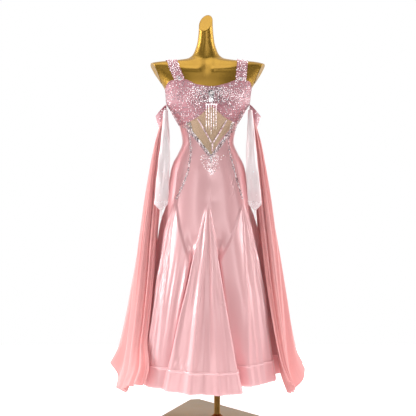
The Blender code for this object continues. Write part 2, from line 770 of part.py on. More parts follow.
def bundle_point(side, share, down, z, inwards=0.0):
    """A point of the gathered upper part of a float: a ring, open towards the body, that follows the
    armband's lower edge and widens as it falls."""
    half_turn = ARMBAND_STEP * FLOAT_COLUMNS / 2
    angle = mix(-half_turn, half_turn, share)
    middle, half, depth, top = armband_ring(side, angle, 0.0)
    outer = middle + half + smooth(down, column(FLOAT_OUTLINE, 0), column(FLOAT_OUTLINE, 1)) - inwards
    half += FLOAT_WIDEN * down - inwards
    depth += FLOAT_WIDEN * down - inwards
    y = FLOAT_DRIFT * ease(down / FLOAT_BUNDLE)
    return Vector(ring_point(side, angle, outer - half, y, half, depth, z))


def float_point(side, share, down):
    """A point of a float: share runs over its width from the front edge, down from its top to its hem."""
    turn = mix(-1, 1, share) * ARMBAND_STEP * FLOAT_COLUMNS / 2
    z_top = armband_ring(side, turn, 0.0)[3] - ARMBAND["float_gap"]
    shares = column(FLOAT_HEM, 0)
    azimuth, radius, z_hem = (smooth(share, shares, column(FLOAT_HEM, k)) for k in (1, 2, 3))
    z = mix(z_top, z_hem, down)
    outer = smooth(down, column(FLOAT_OUTLINE, 0), column(FLOAT_OUTLINE, 1))
    radius += outer - FLOAT_OUTLINE[-1][1]
    fold = FLOAT_FOLD_DEPTH * math.sin(math.tau * FLOAT_FOLDS * share)
    fold *= ease(down / FLOAT_BUNDLE) * (1 - down ** 6)
    a = math.radians(azimuth)
    hanging = Vector((side * (radius + fold) * math.sin(a), -(radius + fold) * math.cos(a), z))
    bundle = bundle_point(side, share, down, z, -fold)
    return bundle.lerp(hanging, ease((down - FLOAT_BUNDLE) / (1 - FLOAT_BUNDLE)))


def floats():
    step = 0.004    # for the surface's direction at a point
    for name, side in SIDES:
        outer, inner = [], []
        for down in spread(1.0, 0.0, FLOAT_ROWS):
            out_row, in_row = [], []
            for share in spread(0.0, 1.0, FLOAT_COLUMNS):
                point = float_point(side, share, down)
                before, after = (float_point(side, share + d, down) for d in (-step, step))
                above = float_point(side, share, max(down - step, 0.0))
                below = float_point(side, share, min(down + step, 1.0))
                inwards = (after - before).cross(below - above).normalized() * side * CHIFFON
                out_row.append(point)
                in_row.append(point + inwards if down else bundle_point(side, share, 0.0, point.z, CHIFFON))
            outer.append(out_row)
            inner.append(in_row)
        wall(f"float_{name}", outer, inner, CORAL)


# ---------------------------------------------------------------- trims, brooch and fringe
def strip(name, path, width, thickness, finish, under=TRIM_LIFT):
    """A flat strip along a path of (azimuth, height) on the dress, mitred at its corners."""
    points = [dress_point(a, h) for a, h in path]
    rows = [[], []], [[], []]
    for i, (azimuth, height) in enumerate(path):
        before = (points[i] - points[i - 1]).normalized() if i else None
        after = (points[i + 1] - points[i]).normalized() if i + 1 < len(points) else None
        before, after = before or after, after or before
        tangent = (before + after).normalized()
        normal = (lifted(azimuth, height, 0.01) - points[i]).normalized()
        reach = width / 2 / max(tangent.dot(after), 0.5)
        across = tangent.cross(normal) * reach
        for level, lift in enumerate((under + thickness, under)):
            rows[level][0].append(points[i] + across + normal * lift)
            rows[level][1].append(points[i] - across + normal * lift)
    wall(name, rows[0], rows[1], finish)


def on_front(points):
    """(x, height) on the front as (azimuth, height)."""
    return [(front_azimuth(x, h), h) for x, h in points]


def line(start, end, count):
    return [(mix(start[0], end[0], t), mix(start[1], end[1], t)) for t in spread(0, 1, count)]


# Widths and thicknesses of the stone-set tapes.
TRIM_V = (0.009, 0.0025)
TRIM_SEAM = (0.005, 0.0020)
TRIM_SEAM_END = 0.010    # height of the seam tape's lower end over the godets' tops
# Strips on the mesh. name, upper and lower end as (x, height), steps, width.
MESH_STRIPS = (
    ("right", (-0.0375, 1.150), (0.0115, 1.064), 5, 0.005),
    ("left", (0.0700, 1.146), (0.0215, 1.064), 5, 0.005),
    ("centre", (0.0165, 1.056), (0.0160, 1.037), 2, 0.006),
)
MESH_STRIP_THICKNESS = 0.0015


def trims():
    """Stone-set tape along the V and down the front seams, and narrow strips on the mesh."""
    strip("trim_v", [(a, v_edge(a)) for a in mesh_row()], *TRIM_V, CRYSTAL)
    for name, side in SIDES:
        # the steps are those of the panels' rows, so that the tape's facets lie over theirs
        heights = spread(mix(GODET_TOP, V_TOP, 0.8), mix(GODET_TOP, V_TOP, 0.1), 7)
        heights.append(GODET_TOP + TRIM_SEAM_END)
        strip(f"trim_seam_{name}", [(front_seam(h, side), h) for h in heights], *TRIM_SEAM, CRYSTAL)
    for name, top, end, steps, width in MESH_STRIPS:
        path = on_front(line(top, end, steps))
        strip(f"mesh_strip_{name}", path, width, MESH_STRIP_THICKNESS, STONES, CLOSE_LIFT)


BROOCH = ((1.2090, 0.0030), (1.2170, 0.0085), (1.2240, 0.0080), (1.2330, 0.0090), (1.2460, 0.0135),
          (1.2550, 0.0090), (1.2630, 0.0025))   # height, half width
BROOCH_EDGE = 0.0012     # thickness at its edge
BROOCH_DOME = 0.006      # how far its middle stands out beyond that
FRINGE = dict(top=1.2060, bar=0.004, half_length=0.019, depth=0.004, strand=0.0016, spacing=0.008,
              end=1.108, middle_end=1.092, drop=0.0026, drop_height=0.016, drop_widest=0.007)
FRINGE_BACK = 0.0004     # the bar lies this much inside the true curve, just clear of its facets


def brooch():
    """Domed cluster at the middle of the neckline."""
    outer, inner = [], []
    for height, half in BROOCH:
        row = [(front_azimuth(CENTRE_X + half * s, height), height, s) for s in spread(-1, 1, 6)]
        dome = [CLOSE_LIFT + BROOCH_EDGE + BROOCH_DOME * (1 - s * s) for _, _, s in row]
        outer.append([lifted(a, h, lift) for (a, h, _), lift in zip(row, dome)])
        inner.append([lifted(a, h, CLOSE_LIFT) for a, h, s in row])
    wall("brooch", outer, inner, CRYSTAL)


def fringe():
    """Crystal strands with drops, on one bar under the brooch."""
    top, half = FRINGE["top"], FRINGE["half_length"]
    low = top - FRINGE["bar"]
    outline = [(-half, top), (-half, low)]
    for k in range(-2, 3):
        x, end = k * FRINGE["spacing"], FRINGE["middle_end" if k == 0 else "end"]
        neck, widest = end + FRINGE["drop_height"], end + FRINGE["drop_widest"]
        half_strand = [(FRINGE["strand"], low), (FRINGE["strand"], neck), (FRINGE["drop"], widest)]
        outline += [(x - dx, z) for dx, z in half_strand]
        outline.append((x, end))
        outline += [(x + dx, z) for dx, z in reversed(half_strand)]
    outline += [(half, low), (half, top)]
    near = [dress_point(front_azimuth(CENTRE_X + x, h), h).y
            for x in spread(-half, half, 8) for h in spread(low, top, 2)]
    back = min(near) + FRINGE_BACK
    shape = bmesh.new()
    face = shape.faces.new([shape.verts.new((CENTRE_X + x, back, z)) for x, z in outline])
    push = bmesh.ops.extrude_face_region(shape, geom=[face])["geom"]
    bmesh.ops.translate(shape, vec=(0, -FRINGE["depth"], 0),
                        verts=[v for v in push if isinstance(v, bmesh.types.BMVert)])
    bmesh.ops.recalc_face_normals(shape, faces=shape.faces)
    mesh = bpy.data.meshes.new("crystal_fringe")
    shape.to_mesh(mesh)
    shape.free()
    put("crystal_fringe", mesh, CRYSTAL)


def main():
    for old in list(bpy.data.objects):
        bpy.data.objects.remove(old)
    made = bpy.data.collections.new("ballroom_dress")
    bpy.context.scene.collection.children.link(made)
    dress_form()
    pole()
    base_plate()
    cups()
    mesh_inset()
    front_panel()
    side_panels()
    back_panels()
    straps()
    skirt()
    hem_band()
    armbands()
    sleeves()
    finger_loops()
    floats()
    trims()
    brooch()
    fringe()


main()
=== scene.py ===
"""Looks of a ballroom dance dress on a limbless dress form.

Lengths are in metres and azimuths in degrees, measured round the dress from the front (-Y) towards +X.
Left and right are the wearer's, so right is on the -X side.
"""
import math
from types import SimpleNamespace as Values

import bmesh
import bpy
import numpy as np
from mathutils import Matrix, Vector


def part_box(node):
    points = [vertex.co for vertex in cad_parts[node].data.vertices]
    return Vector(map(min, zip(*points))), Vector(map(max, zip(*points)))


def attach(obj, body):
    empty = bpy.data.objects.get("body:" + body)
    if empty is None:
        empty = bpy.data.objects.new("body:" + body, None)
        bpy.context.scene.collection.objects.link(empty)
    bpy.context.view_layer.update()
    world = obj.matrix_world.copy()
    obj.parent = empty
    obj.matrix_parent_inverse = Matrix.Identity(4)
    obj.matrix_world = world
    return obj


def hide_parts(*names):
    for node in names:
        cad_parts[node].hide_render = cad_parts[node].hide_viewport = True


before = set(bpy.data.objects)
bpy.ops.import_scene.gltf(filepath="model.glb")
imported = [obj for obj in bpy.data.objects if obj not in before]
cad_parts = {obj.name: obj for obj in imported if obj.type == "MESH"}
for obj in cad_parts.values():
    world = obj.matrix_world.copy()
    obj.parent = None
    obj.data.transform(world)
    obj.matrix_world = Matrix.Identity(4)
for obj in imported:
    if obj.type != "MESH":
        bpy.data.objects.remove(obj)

bl_info = {
    "name": "Ballroom dance dress",
    "version": (1, 0, 0),
    "blender": (4, 5, 0),
    "location": "3D View > Sidebar > Ballroom dress",
    "description": "Builds the cloth, stones and stand of a ballroom dance dress around its frame",
    "category": "Object",
}

BODY = "root"
SIDES = (("right", -1), ("left", 1))

# ---------------------------------------------------------------- the dress's sizes, as in the frame
GODET_TOP = 0.838        # height where the godets start
HEM = 0.157              # nominal height of the hem
FOLD_TURN = 0.8          # power by which the folds turn from their azimuth at the top to that at the hem
GORE_LENGTH = 0.32       # share of the skirt's length at which the gores have closed between the godets
FAN = 0.65               # power by which the pleats of a godet spread towards the hem
GORE_END = 0.7           # half of a gore's width from there on, in degrees
GODET_TIP = 0.008        # width of a godet at its top
CENTRE = 8.0             # azimuth of the bodice's centre line
SIDE_SEAM = 92.0
SIDE_TOP = 1.125         # height of the side panels' upper edge at the side seam
V_TOP = 1.137            # height of the V's two upper corners
V_POINT = 1.012          # height of its lowest point
V_SHORT = 0.003          # how far below its corners the V's edge ends
FORM_GAP = 0.0075        # from the cloth's outer side to the dress form

# Torso: height, half width, depth to the front and to the back, power of the rounded section.
TORSO = np.array((
    (0.780, 0.156, 0.116, 0.122, 2.0), (0.838, 0.160, 0.120, 0.126, 2.0),
    (0.865, 0.158, 0.118, 0.126, 2.0), (0.926, 0.148, 0.113, 0.118, 2.0),
    (0.957, 0.143, 0.108, 0.108, 2.0), (0.988, 0.133, 0.100, 0.096, 2.0),
    (1.019, 0.116, 0.092, 0.086, 2.0), (1.065, 0.099, 0.084, 0.078, 2.0),
    (1.115, 0.107, 0.087, 0.084, 2.0), (1.149, 0.121, 0.095, 0.090, 2.0),
    (1.179, 0.140, 0.104, 0.096, 2.1), (1.210, 0.158, 0.110, 0.098, 2.2),
    (1.240, 0.163, 0.108, 0.098, 2.2), (1.300, 0.194, 0.086, 0.090, 2.2),
    (1.340, 0.225, 0.068, 0.080, 2.3), (1.357, 0.236, 0.058, 0.070, 2.4),
    (1.368, 0.208, 0.050, 0.063, 2.4), (1.376, 0.125, 0.045, 0.057, 2.2),
    (1.384, 0.076, 0.042, 0.053, 2.0), (1.397, 0.058, 0.040, 0.050, 2.0), (1.415, 0.049, 0.038, 0.044, 2.0),
    (1.445, 0.040, 0.036, 0.038, 2.0), (1.490, 0.035, 0.034, 0.034, 2.0),
    (1.560, 0.032, 0.032, 0.032, 2.0),
))
BUST = Values(azimuth=35.0, height=1.203, spread=24.0, rise=0.040, swell=0.014)

# Upper edge of the bodice: azimuth, height.
TOP_EDGE = np.array((
    (-180, 1.195), (-150, 1.215), (-134, 1.240), (-118, 1.238), (-105, 1.212), (-92, 1.208),
    (-80, 1.245), (-72, 1.275), (-63.6, 1.295), (-48.1, 1.296), (-25, 1.278), (8, 1.270),
    (38, 1.281), (55.6, 1.294), (68.4, 1.293), (76, 1.270), (82, 1.240), (92, 1.208),
    (105, 1.212), (118, 1.238), (134, 1.240), (150, 1.215), (180, 1.195),
))
# Lower edge of the cups: distance from the bodice's centre line, height.
CUP_EDGE = np.array(((0.0, 1.200), (0.020, 1.184), (0.051, 1.158), (0.093, 1.137), (0.130, 1.127),
                     (0.180, 1.125)))
# Front seams: height, x of the right one and of the left one.
FRONT_SEAMS = np.array((
    (0.838, -0.124, 0.131), (0.880, -0.104, 0.121), (0.920, -0.087, 0.110), (0.978, -0.071, 0.094),
    (1.026, -0.064, 0.082), (1.070, -0.067, 0.078), (1.110, -0.0745, 0.0905), (1.137, -0.0825, 0.1025),
))
# Folds of the skirt, crest and valley by turns: azimuth at the top and at the hem, radius, hem height.
FOLDS = np.array((
    (-142, -131, 0.286, 0.160), (-121, -107, 0.205, 0.165), (-100, -88, 0.280, 0.170),
    (-80, -71, 0.212, 0.168), (-62, -59, 0.285, 0.162), (-54, -48, 0.287, 0.158),
    (-8.7, -40, 0.274, 0.157), (-4, -30, 0.287, 0.157), (3, 23, 0.289, 0.152), (4.5, 32, 0.214, 0.160),
    (56, 40, 0.264, 0.164), (68, 62, 0.284, 0.170), (82, 77, 0.240, 0.172), (100, 91, 0.304, 0.172),
    (121, 109, 0.205, 0.165), (142, 132, 0.286, 0.160), (161, 157, 0.208, 0.160),
    (180, 180, 0.286, 0.158), (199, 203, 0.208, 0.160),
))
# Valleys are tighter than crests.
TIGHT = 1.5
# Godets, front first and round by the left: azimuth of the top.
GODETS = (0.0, 62.3, 100.0, 142.0, 180.0, 218.0, 260.0, 301.4)
# The gore after each godet: its azimuth where it closes, and at the hem.
GORES = ((15.0, 30.5), (81.0, 77.0), (117.0, 109.0), (160.0, 157.0), (200.5, 203.0), (243.0, 253.0),
         (282.0, 289.0), (339.0, 320.5))


# ---------------------------------------------------------------- curves and the dress's surface
def smooth(x, table, index):
    """Column index of a table at x, by a monotone cubic curve through its rows."""
    xs, ys = table[:, 0], table[:, index]
    steps = np.diff(ys) / np.diff(xs)
    before, after = steps[:-1], steps[1:]
    total = np.where(before + after == 0, 1.0, before + after)
    inner = np.where(before * after > 0, 2 * before * after / total, 0.0)
    slopes = np.concatenate((steps[:1], inner, steps[-1:]))
    x = np.clip(np.asarray(x, float), xs[0], xs[-1])
    i = np.clip(np.searchsorted(xs, x) - 1, 0, len(xs) - 2)
    h = xs[i + 1] - xs[i]
    t = (x - xs[i]) / h
    return (ys[i] * (1 + 2 * t) * (1 - t) ** 2 + ys[i + 1] * t * t * (3 - 2 * t)
            + h * slopes[i] * t * (1 - t) ** 2 - h * slopes[i + 1] * t * t * (1 - t))


def ease(t):
    """Smooth step from 0 to 1."""
    t = np.clip(t, 0.0, 1.0)
    return t * t * (3 - 2 * t)


def mix(a, b, t):
    return a + (b - a) * t


def bell(x, width):
    """1 at zero, falling off smoothly over a width."""
    return np.exp(-(x / width) ** 2)


def turned(azimuth):
    """An azimuth brought to -180 to 180."""
    return (np.asarray(azimuth, float) + 180) % 360 - 180


def torso_radius(azimuth, height):
    """Distance of the cloth's outer side from the dress's centre line."""
    width, front, back, power = (smooth(height, TORSO, k) for k in range(1, 5))
    a = np.radians(azimuth)
    depth = np.where(np.cos(a) > 0, front, back)
    r = (np.abs(np.sin(a) / width) ** power + np.abs(np.cos(a) / depth) ** power) ** (-1 / power)
    for side in (-1, 1):
        off = turned(azimuth - CENTRE - side * BUST.azimuth)
        up = (height - BUST.height) / BUST.rise
        r = r + BUST.swell * bell(off, BUST.spread) * np.exp(-up * up)
    return r


def fold_value(azimuth, share, index):
    """Hem radius (index 2) or hem height (index 3) at an azimuth, for folds at a share of the length."""
    share = np.asarray(share, float)[..., None]
    spots = mix(FOLDS[:, 0], FOLDS[:, 1], share ** FOLD_TURN)
    spots = np.concatenate((spots, spots[..., :1] + 360), axis=-1)
    values = np.append(FOLDS[:, index], FOLDS[0, index])
    a = (azimuth - spots[..., 0]) % 360 + spots[..., 0]
    k = np.clip((spots <= a[..., None] + 1e-9).sum(-1) - 1, 0, len(FOLDS) - 1)
    low = np.take_along_axis(spots, k[..., None], -1)[..., 0]
    high = np.take_along_axis(spots, k[..., None] + 1, -1)[..., 0]
    wave = (1 - np.cos(math.pi * (a - low) / (high - low))) / 2
    crest = FOLDS[k, 2] > np.append(FOLDS[:, 2], FOLDS[0, 2])[k + 1]
    wave = np.where(crest, wave ** TIGHT, 1 - (1 - wave) ** TIGHT)
    return mix(values[k], values[k + 1], wave)


def skirt_share(height):
    return np.clip((GODET_TOP - height) / (GODET_TOP - HEM), 0.0, 1.0)


def godet_edges(index, share, fanned=False):
    """Azimuths of a godet's two edges at a share of the length. Its pleats are fanned out without a bend."""
    top = GODETS[index]
    tip = math.degrees(GODET_TIP / 2 / float(torso_radius(top, GODET_TOP)))
    edges = []
    for side, (middle, hem) in ((-1, GORES[index - 1]), (1, GORES[index])):
        middle, hem = (top + float(turned(at - top)) - side * GORE_END for at in (middle, hem))
        closing = mix(top + side * tip, middle, np.minimum(share / GORE_LENGTH, 1.0))
        edge = closing + (hem - middle) * np.clip((share - GORE_LENGTH) / (1 - GORE_LENGTH), 0.0, 1.0)
        edges.append(mix(top + side * tip, hem, share ** FAN) if fanned else edge)
    return edges


def plain_point(azimuth, height):
    """A point of the cloth's outer side without its fine folds."""
    azimuth, height = np.broadcast_arrays(np.asarray(azimuth, float), np.asarray(height, float))
    share = skirt_share(height)
    r = torso_radius(azimuth, np.maximum(height, GODET_TOP))
    r = mix(r, fold_value(azimuth, share, 2), share)
    z = np.where(share > 0, mix(GODET_TOP, fold_value(azimuth, share, 3), share), height)
    a = np.radians(azimuth)
    return np.stack((r * np.sin(a), -r * np.cos(a), z), -1)


# ---------------------------------------------------------------- fine folds of the cloth
# Pleats that spread from a godet's apex: place across the godet (-1 to 1), width, and height as a share
# of the godet's half width.
PLEATS = ((-0.86, 0.10, 0.066), (-0.52, 0.12, -0.052), (-0.16, 0.11, 0.080), (0.16, 0.10, -0.064),
          (0.34, 0.06, 0.030), (0.54, 0.08, -0.034), (0.88, 0.10, 0.070))
MEAN_RADIUS = 0.24       # radius at which a godet's width in degrees is taken as a length
BILLOW = 0.008           # how far a godet fills out
VALLEY = 0.015           # how far a gore falls back between two godets
VALLEY_WIDTH = 0.55
EASED = 0.075            # height over which the hip turns into the skirt
# Strength of each kind of fold along the skirt, in shares of its length: where it starts and over how
# much it grows, where it starts to fade and over how much, and how much of it is lost.
PLEAT_RUN = (0.0, 0.08, 0.45, 0.5, 0.30)
BILLOW_RUN = (0.0, 0.15, 0.5, 0.45, 1.0)
VALLEY_RUN = (0.12, 0.25, 0.55, 0.4, 1.0)
CREASE_RUN = (0.12, 0.55, 1.0, 1.0, 0.0)
# Slight unevenness of all the satin: turns round the dress, waves along it, phase.
SLACK_WAVES = ((9, 21, 0.0), (5, -13, 1.0))
CREASE_UNIT = 600        # a crease of depth 1 stands out by 1/600 m
# Small gathers in the satin: azimuth, height, width in degrees, height of the patch, ripples, depth in mm.
PUCKERS = (
    (-19.0, 0.232, 3.4, 0.026, 5.0, 2.0), (-24.0, 0.262, 2.6, 0.020, 4.0, 1.3),
    (14.0, 0.470, 3.0, 0.010, 1.0, 1.0), (20.0, 0.395, 2.6, 0.008, 1.0, 0.9),
    (50.0, 0.905, 7.0, 0.016, 3.0, 1.1), (-51.0, 0.925, 6.0, 0.014, 2.5, 0.8),
    (43.0, 0.868, 4.0, 0.012, 2.0, 0.8), (-72.0, 0.360, 5.0, 0.030, 4.0, 1.4),
    (152.0, 0.300, 4.0, 0.022, 4.0, 1.5), (208.0, 0.420, 4.0, 0.018, 3.0, 1.3),
    (130.0, 0.905, 7.0, 0.016, 3.0, 1.0), (231.0, 0.900, 7.0, 0.016, 3.0, 1.0),
)
# Long soft creases in the skirt's lower half: azimuth at the hem, turn towards the top, width, depth.
CREASES = ((-52, 3, 2.2, 2.2), (-44, 6, 1.8, -1.6), (-20, 9, 2.4, 2.0), (-9, 5, 2.0, -2.2), (3, 1, 2.0, 2.4),
           (16, -6, 1.6, -1.6), (45, 8, 2.0, 2.2), (53, 4, 2.2, -2.0), (66, 3, 2.0, 1.8), (88, 4, 2.4, 2.0),
           (96, 3, 2.0, -1.8), (126, 5, 2.4, 2.2), (136, 2, 2.0, -2.0), (172, 4, 2.4, 2.2),
           (186, -3, 2.2, -2.0), (222, -4, 2.4, 2.0), (236, -5, 2.0, -1.8), (266, 2, 2.2, 2.2),
           (276, -3, 2.0, -1.8), (302, 2, 2.4, 2.0), (-37, 10, 3.0, -4.6), (-30, 8, 2.4, 2.8),
           (-14, 6, 3.6, 4.2), (-4, 3, 3.0, -4.2), (9, 0, 3.6, 3.8), (49, 5, 3.6, -4.0),
           (59, 4, 3.2, 3.4), (110, 3, 3.6, 3.0), (132, 3, 3.8, -4.0), (146, 2, 3.6, 3.6),
           (168, 2, 3.8, -4.0), (190, -2, 3.6, 3.8),
           (212, -3, 3.6, 3.0), (230, -3, 3.8, -4.0), (256, 0, 3.6, 3.6), (290, 3, 3.6, -3.6))


def strength(share, start, grows, fades_from, fades, loss):
    """Strength of a kind of fold at a share of the skirt's length."""
    return ease((share - start) / grows) * (1 - loss * ease((share - fades_from) / fades))


def fine_relief(azimuth, height):
    """How far the fine folds move the cloth out, in metres."""
    share = skirt_share(height)
    hem = fold_value(azimuth, np.maximum(share, 0.02), 2)
    lean = (hem - torso_radius(azimuth, GODET_TOP)) / (GODET_TOP - HEM)
    below = (GODET_TOP - height) / EASED
    moved = lean * EASED / 4 * np.maximum(1 - np.abs(below), 0.0) ** 2
    edges = [godet_edges(index, share) for index in range(len(GODETS))]
    for n, (low, high) in enumerate(edges):
        across = turned(azimuth - (low + high) / 2) / ((high - low) / 2)
        swell = ease((1.05 - np.abs(across)) / 0.16)
        moved = moved + BILLOW * swell * strength(share, *BILLOW_RUN)
        low, high = godet_edges(n, share, True)
        across = turned(azimuth - (low + high) / 2) / ((high - low) / 2)
        half = np.radians(high - low) / 2 * MEAN_RADIUS
        for place, width, lift in PLEATS:
            wander = math.sin(n * 2.4 + 9 * place)
            bent = across - place - 0.04 * wander
            moved = moved + lift * half * bell(bent, width) * strength(share, *PLEAT_RUN) * swell
    for (low, high), (next_low, _) in zip(edges, edges[1:] + edges[:1]):
        gap = (next_low - high) % 360
        off = turned(azimuth - high - gap / 2) / np.maximum(gap / 2, 1.0)
        moved = moved - VALLEY * bell(off, VALLEY_WIDTH) * strength(share, *VALLEY_RUN)
    for at_hem, turn, width, depth in CREASES:
        off = turned(azimuth - at_hem - turn * (1 - share))
        moved = moved + depth / CREASE_UNIT * bell(off, width) * strength(share, *CREASE_RUN)
    for centre, middle, width, tall, ripples, depth in PUCKERS:
        off, up = turned(azimuth - centre) / width, (height - middle) / tall
        bend = 1.3 * np.sin(2.1 * off)
        wave = np.sin(math.pi * ripples * (up + 0.35 * off) + bend)
        moved = moved + depth / 1000 * wave * np.exp(-off * off - up * up)
    a = np.radians(azimuth)
    slack = mix(0.0003, 0.0012, ease((share - 0.02) / 0.2))
    for turns, waves, phase in SLACK_WAVES:
        slack = slack * np.sin(turns * a + waves * height + phase)
    return moved + slack


def dress_point(azimuth, height):
    """A point of the cloth's outer side with all its folds."""
    point = plain_point(azimuth, height)
    a = np.radians(np.broadcast_to(azimuth, point.shape[:-1]))
    moved = fine_relief(np.broadcast_to(azimuth, a.shape), np.broadcast_to(height, a.shape))
    return point + np.stack((np.sin(a), -np.cos(a), np.zeros_like(a)), -1) * moved[..., None]


def unit(vectors):
    return vectors / np.maximum(np.linalg.norm(vectors, axis=-1, keepdims=True), 1e-12)


def outwards(azimuth, height):
    """The outward direction of the cloth."""
    d_az, d_h = 0.4, 0.0015
    across = dress_point(azimuth + d_az, height) - dress_point(azimuth - d_az, height)
    up = dress_point(azimuth, height + d_h) - dress_point(azimuth, height - d_h)
    return unit(np.cross(across, up))


def lifted(azimuth, height, lift):
    """Points moved out from the cloth by lift."""
    azimuth, height = np.broadcast_arrays(np.asarray(azimuth, float), np.asarray(height, float))
    return dress_point(azimuth, height) + outwards(azimuth, height) * np.asarray(lift)[..., None]


def front_azimuth(x, height):
    """Azimuth at which the front of the dress has this x."""
    x, height = np.broadcast_arrays(np.asarray(x, float), np.asarray(height, float))
    low, high = np.full(x.shape, -89.0), np.full(x.shape, 89.0)
    for _ in range(30):
        middle = (low + high) / 2
        less = plain_point(middle, height)[..., 0] < x
        low, high = np.where(less, middle, low), np.where(less, high, middle)
    return (low + high) / 2


CENTRE_X = float(plain_point(CENTRE, 1.1)[0])


def top_edge(azimuth):
    return smooth(turned(azimuth), TOP_EDGE, 1)


def cup_edge(azimuth):
    """Height of the cups' lower edge."""
    height = np.full(np.shape(azimuth), 1.15)
    for _ in range(6):
        height = smooth(np.abs(plain_point(azimuth, height)[..., 0] - CENTRE_X), CUP_EDGE, 1)
    return height


def front_seam(height, side):
    """Azimuth of a front seam."""
    return front_azimuth(smooth(height, FRONT_SEAMS, 1 if side < 0 else 2), height)


def v_corner(side):
    return float(front_seam(np.array(V_TOP), side))


def v_edge(azimuth):
    """Height of the V's edge."""
    azimuth = np.asarray(azimuth, float)
    reaches = [abs(float(plain_point(v_corner(s), V_TOP)[0]) - CENTRE_X) for s in (-1, 1)]
    reach = np.where(azimuth < CENTRE, *reaches)
    height = np.full(azimuth.shape, V_POINT)
    for _ in range(6):
        share = np.minimum(np.abs(plain_point(azimuth, height)[..., 0] - CENTRE_X) / reach, 1.0)
        height = mix(V_POINT, V_TOP - V_SHORT, share)
    return height


# ---------------------------------------------------------------- meshes
WEAVE_RADIUS = 0.15      # radius at which degrees round the dress are taken as lengths of cloth


def grid_faces(rows, columns, ring=False, start=0):
    """Quads between the rows of a grid of points. A ring's columns join up."""
    i = np.arange(rows - 1)[:, None]
    j = np.arange(columns if ring else columns - 1)[None, :]
    k = (j + 1) % columns
    quad = np.stack(np.broadcast_arrays(i * columns + j, i * columns + k, (i + 1) * columns + k,
                                        (i + 1) * columns + j), -1)
    return quad.reshape(-1, 4) + start


def in_scene(name, data):
    """A new object with this data, linked to the scene."""
    made = bpy.data.objects.new(name, data)
    bpy.context.scene.collection.objects.link(made)
    return made


def as_mesh(name, source):
    """A plain mesh of what an object evaluates to."""
    graph = bpy.context.evaluated_depsgraph_get()
    mesh = bpy.data.meshes.new_from_object(source.evaluated_get(graph), depsgraph=graph)
    mesh.name = name
    return mesh


def hard_edged(name, shape, angle):
    """An object from an edited mesh, smooth but for edges sharper than an angle."""
    mesh = bpy.data.meshes.new(name)
    shape.to_mesh(mesh)
    shape.free()
    mesh.shade_smooth()
    mesh.set_sharp_from_angle(angle=math.radians(angle))
    return in_scene(name, mesh)


def new_object(name, vertices, faces, uv=None, normals=None):
    """A smooth-shaded mesh object at the origin. uv and normals hold one row for each vertex."""
    mesh = bpy.data.meshes.new(name)
    mesh.from_pydata([tuple(v) for v in vertices], [], [tuple(f) for f in faces])
    if uv is not None:
        layer = mesh.uv_layers.new(name="cloth")
        corner = np.zeros(len(mesh.loops), np.int32)
        mesh.loops.foreach_get("vertex_index", corner)
        layer.data.foreach_set("uv", np.asarray(uv, np.float32)[corner].ravel())
    mesh.shade_smooth()
    if normals is not None:
        mesh.normals_split_custom_set_from_vertices([tuple(n) for n in normals])
    return in_scene(name, mesh)


def point_normals(points, faces):
    """Directions of a mesh's points, from its faces."""
    corners = points[faces]
    across = np.cross(corners[:, 2] - corners[:, 0], corners[:, 3] - corners[:, 1])
    total = np.zeros_like(points)
    for k in range(4):
        np.add.at(total, faces[:, k], across)
    return unit(total)


def shell(name, points, faces, thickness, uv, normals=None):
    """A sheet of cloth with its two sides and its cut edges. The points are those of its outer side."""
    if normals is None:
        normals = point_normals(points, faces)
    count = len(points)
    starts, ends = faces.ravel(), np.roll(faces, -1, axis=1).ravel()
    used = {}
    for a, b in zip(starts.tolist(), ends.tolist()):
        used.setdefault((min(a, b), max(a, b)), []).append((a, b))
    rims = [(b, a, a + count, b + count) for found in used.values() if len(found) == 1
            for a, b in found]
    everything = np.concatenate((points, points - normals * thickness))
    sides = np.concatenate((faces, faces[:, ::-1] + count)).tolist() + rims
    return new_object(name, everything, sides, np.concatenate((uv, uv)),
                      np.concatenate((normals, -normals)))


def add_value(made, name, values):
    """A value for each point, which a material reads by name. A shell's inner side has the same values."""
    values = np.asarray(values, np.float32).ravel()
    repeats = len(made.data.vertices) // len(values)
    layer = made.data.attributes.new(name, "FLOAT", "POINT")
    layer.data.foreach_set("value", np.tile(values, repeats))


def finished(made, material, slot, *nodes):
    """Gives a piece its material, lets it ride on the dress and stand for its nodes."""
    if material is not None:
        made.data.materials.clear()
        made.data.materials.append(material)
    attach(made, BODY)
    if nodes:
        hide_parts(*nodes)
    return made


def flat_grid(grid):
    """The points of a grid of rows and columns as one list."""
    return grid.reshape(-1, grid.shape[-1])


def cloth_uv(azimuths, heights):
    """Lengths along the cloth, near enough for a weave."""
    return np.stack((np.radians(azimuths) * WEAVE_RADIUS, heights), -1).reshape(-1, 2)


def even_uv(across, up):
    """A map with these lengths across and up."""
    return np.stack(np.meshgrid(across, up), -1).reshape(-1, 2)


def panel(name, azimuths, heights, thickness, lift=0.0):
    """A cloth panel over grids of azimuth and height, moved out by lift."""
    points = lifted(azimuths, heights, lift)
    normals = outwards(azimuths, heights)
    return shell(name, flat_grid(points), grid_faces(*azimuths.shape), thickness,
                 cloth_uv(azimuths, heights), flat_grid(normals))


# ---------------------------------------------------------------- shader maths
def connect(tree, slot, value):
    """Links a slot to a value's socket, or sets it to a plain value."""
    if isinstance(value, (Sum, bpy.types.NodeSocket)):
        tree.links.new(getattr(value, "socket", value), slot)
    else:
        slot.default_value = value


